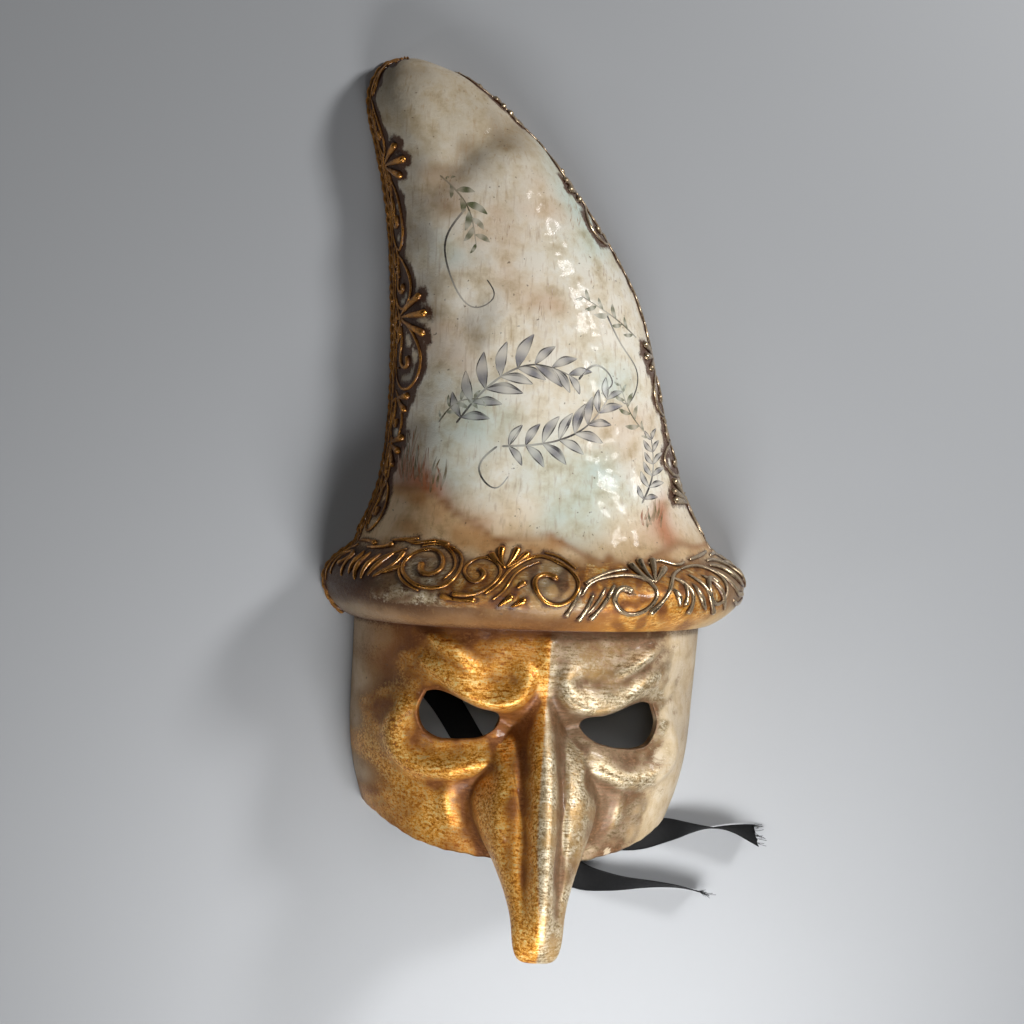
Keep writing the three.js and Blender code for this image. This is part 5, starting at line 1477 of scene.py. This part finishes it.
class MASK_OT_ribbons(bpy.types.Operator):
    """Lay out the two satin tie ribbons with their frayed ends"""
    bl_idname = "mask.ribbons"
    bl_label = "Tie ribbons"

    def execute(self, context):
        width = context.scene.mask_sizes.ribbon_width
        satin = black_satin_weave()
        for side, rows, inward, seed in (("left", RIBBON_LEFT, 1, 3), ("right", RIBBON_RIGHT, -1, 4)):
            piece, points = make_ribbon("satin_ribbon_" + side, rows, inward, seed, width / MM)
            dressed(piece, "black_satin", satin, replaced=["ribbon_" + side])
        return {"FINISHED"}


class MASK_OT_shell(bpy.types.Operator):
    """Mould the papier-mache shell of face, nose, brim and hat, and paint it"""
    bl_idname = "mask.shell"
    bl_label = "Papier-mache shell"

    def execute(self, context):
        shell = make_shell(paint, context.scene.mask_sizes.wall / MM)
        dressed(shell, "painted_papier_mache", gilded_papier_mache(), bare_papier_mache(),
                replaced=["mask_shell"])
        return {"FINISHED"}


class MASK_OT_design(bpy.types.Operator):
    """Paint the hat's sprigs and plumes stroke by stroke"""
    bl_idname = "mask.design"
    bl_label = "Painted design"

    def execute(self, context):
        piece = make_piece("painted_design", *joined([brushed(*stroke) for stroke in design()]), smooth=False)
        dressed(piece, "painted_papier_mache", varnished_watercolour())
        return {"FINISHED"}


class MASK_OT_scrollwork(bpy.types.Operator):
    """Pipe the scrollwork on the brim and along the hat's edges"""
    bl_idname = "mask.scrollwork"
    bl_label = "Piped scrollwork"

    def execute(self, context):
        foot = shade("glaze")
        bronze = wiped_metal_paint("wiped_bronze_paint", foot, shade("bronze"))
        pewter = wiped_metal_paint("wiped_pewter_paint", foot, shade("pewter"))
        for name, sign, strokes, slot, metal in (("left", -1, BRIM_LEFT, "bronze_relief", bronze),
                                                 ("right", 1, BRIM_RIGHT, "silver_relief", pewter)):
            dressed(brim_scrollwork("piped_brim_" + name, strokes), slot, metal,
                    replaced=["brim_scrollwork_" + name])
            dressed(edge_scrollwork("piped_edge_" + name, sign), slot, metal,
                    replaced=["hat_edge_scrollwork_" + name])
        return {"FINISHED"}


class MASK_OT_stage(bpy.types.Operator):
    """Lay the studio's floor and set up its lights"""
    bl_idname = "mask.stage"
    bl_label = "Floor and lights"

    def execute(self, context):
        light_stage()
        return {"FINISHED"}


OPERATORS = (MASK_OT_camera, MASK_OT_ribbons, MASK_OT_shell, MASK_OT_design, MASK_OT_scrollwork,
             MASK_OT_stage)


class MASK_PT_panel(bpy.types.Panel):
    """Lists the mask's sizes, its colours and the steps that make it"""
    bl_label = "Long-nosed mask"
    bl_space_type = "VIEW_3D"
    bl_region_type = "UI"
    bl_category = "Mask"

    def draw(self, context):
        for group in (context.scene.mask_sizes, context.scene.mask_colours):
            for key in group.__annotations__:
                self.layout.prop(group, key)
        for operator in OPERATORS:
            self.layout.operator(operator.bl_idname)


CLASSES = (MaskSizes, MaskColours) + OPERATORS + (MASK_PT_panel,)


def register():
    for one in CLASSES:
        bpy.utils.register_class(one)
    bpy.types.Scene.mask_sizes = bpy.props.PointerProperty(type=MaskSizes)
    bpy.types.Scene.mask_colours = bpy.props.PointerProperty(type=MaskColours)


def unregister():
    del bpy.types.Scene.mask_colours
    del bpy.types.Scene.mask_sizes
    for one in reversed(CLASSES):
        bpy.utils.unregister_class(one)


def main():
    register()
    bpy.ops.mask.camera()
    bpy.ops.mask.ribbons()
    bpy.ops.mask.shell()
    bpy.ops.mask.design()
    bpy.ops.mask.scrollwork()
    bpy.ops.mask.stage()


if __name__ == "__main__":
    main()
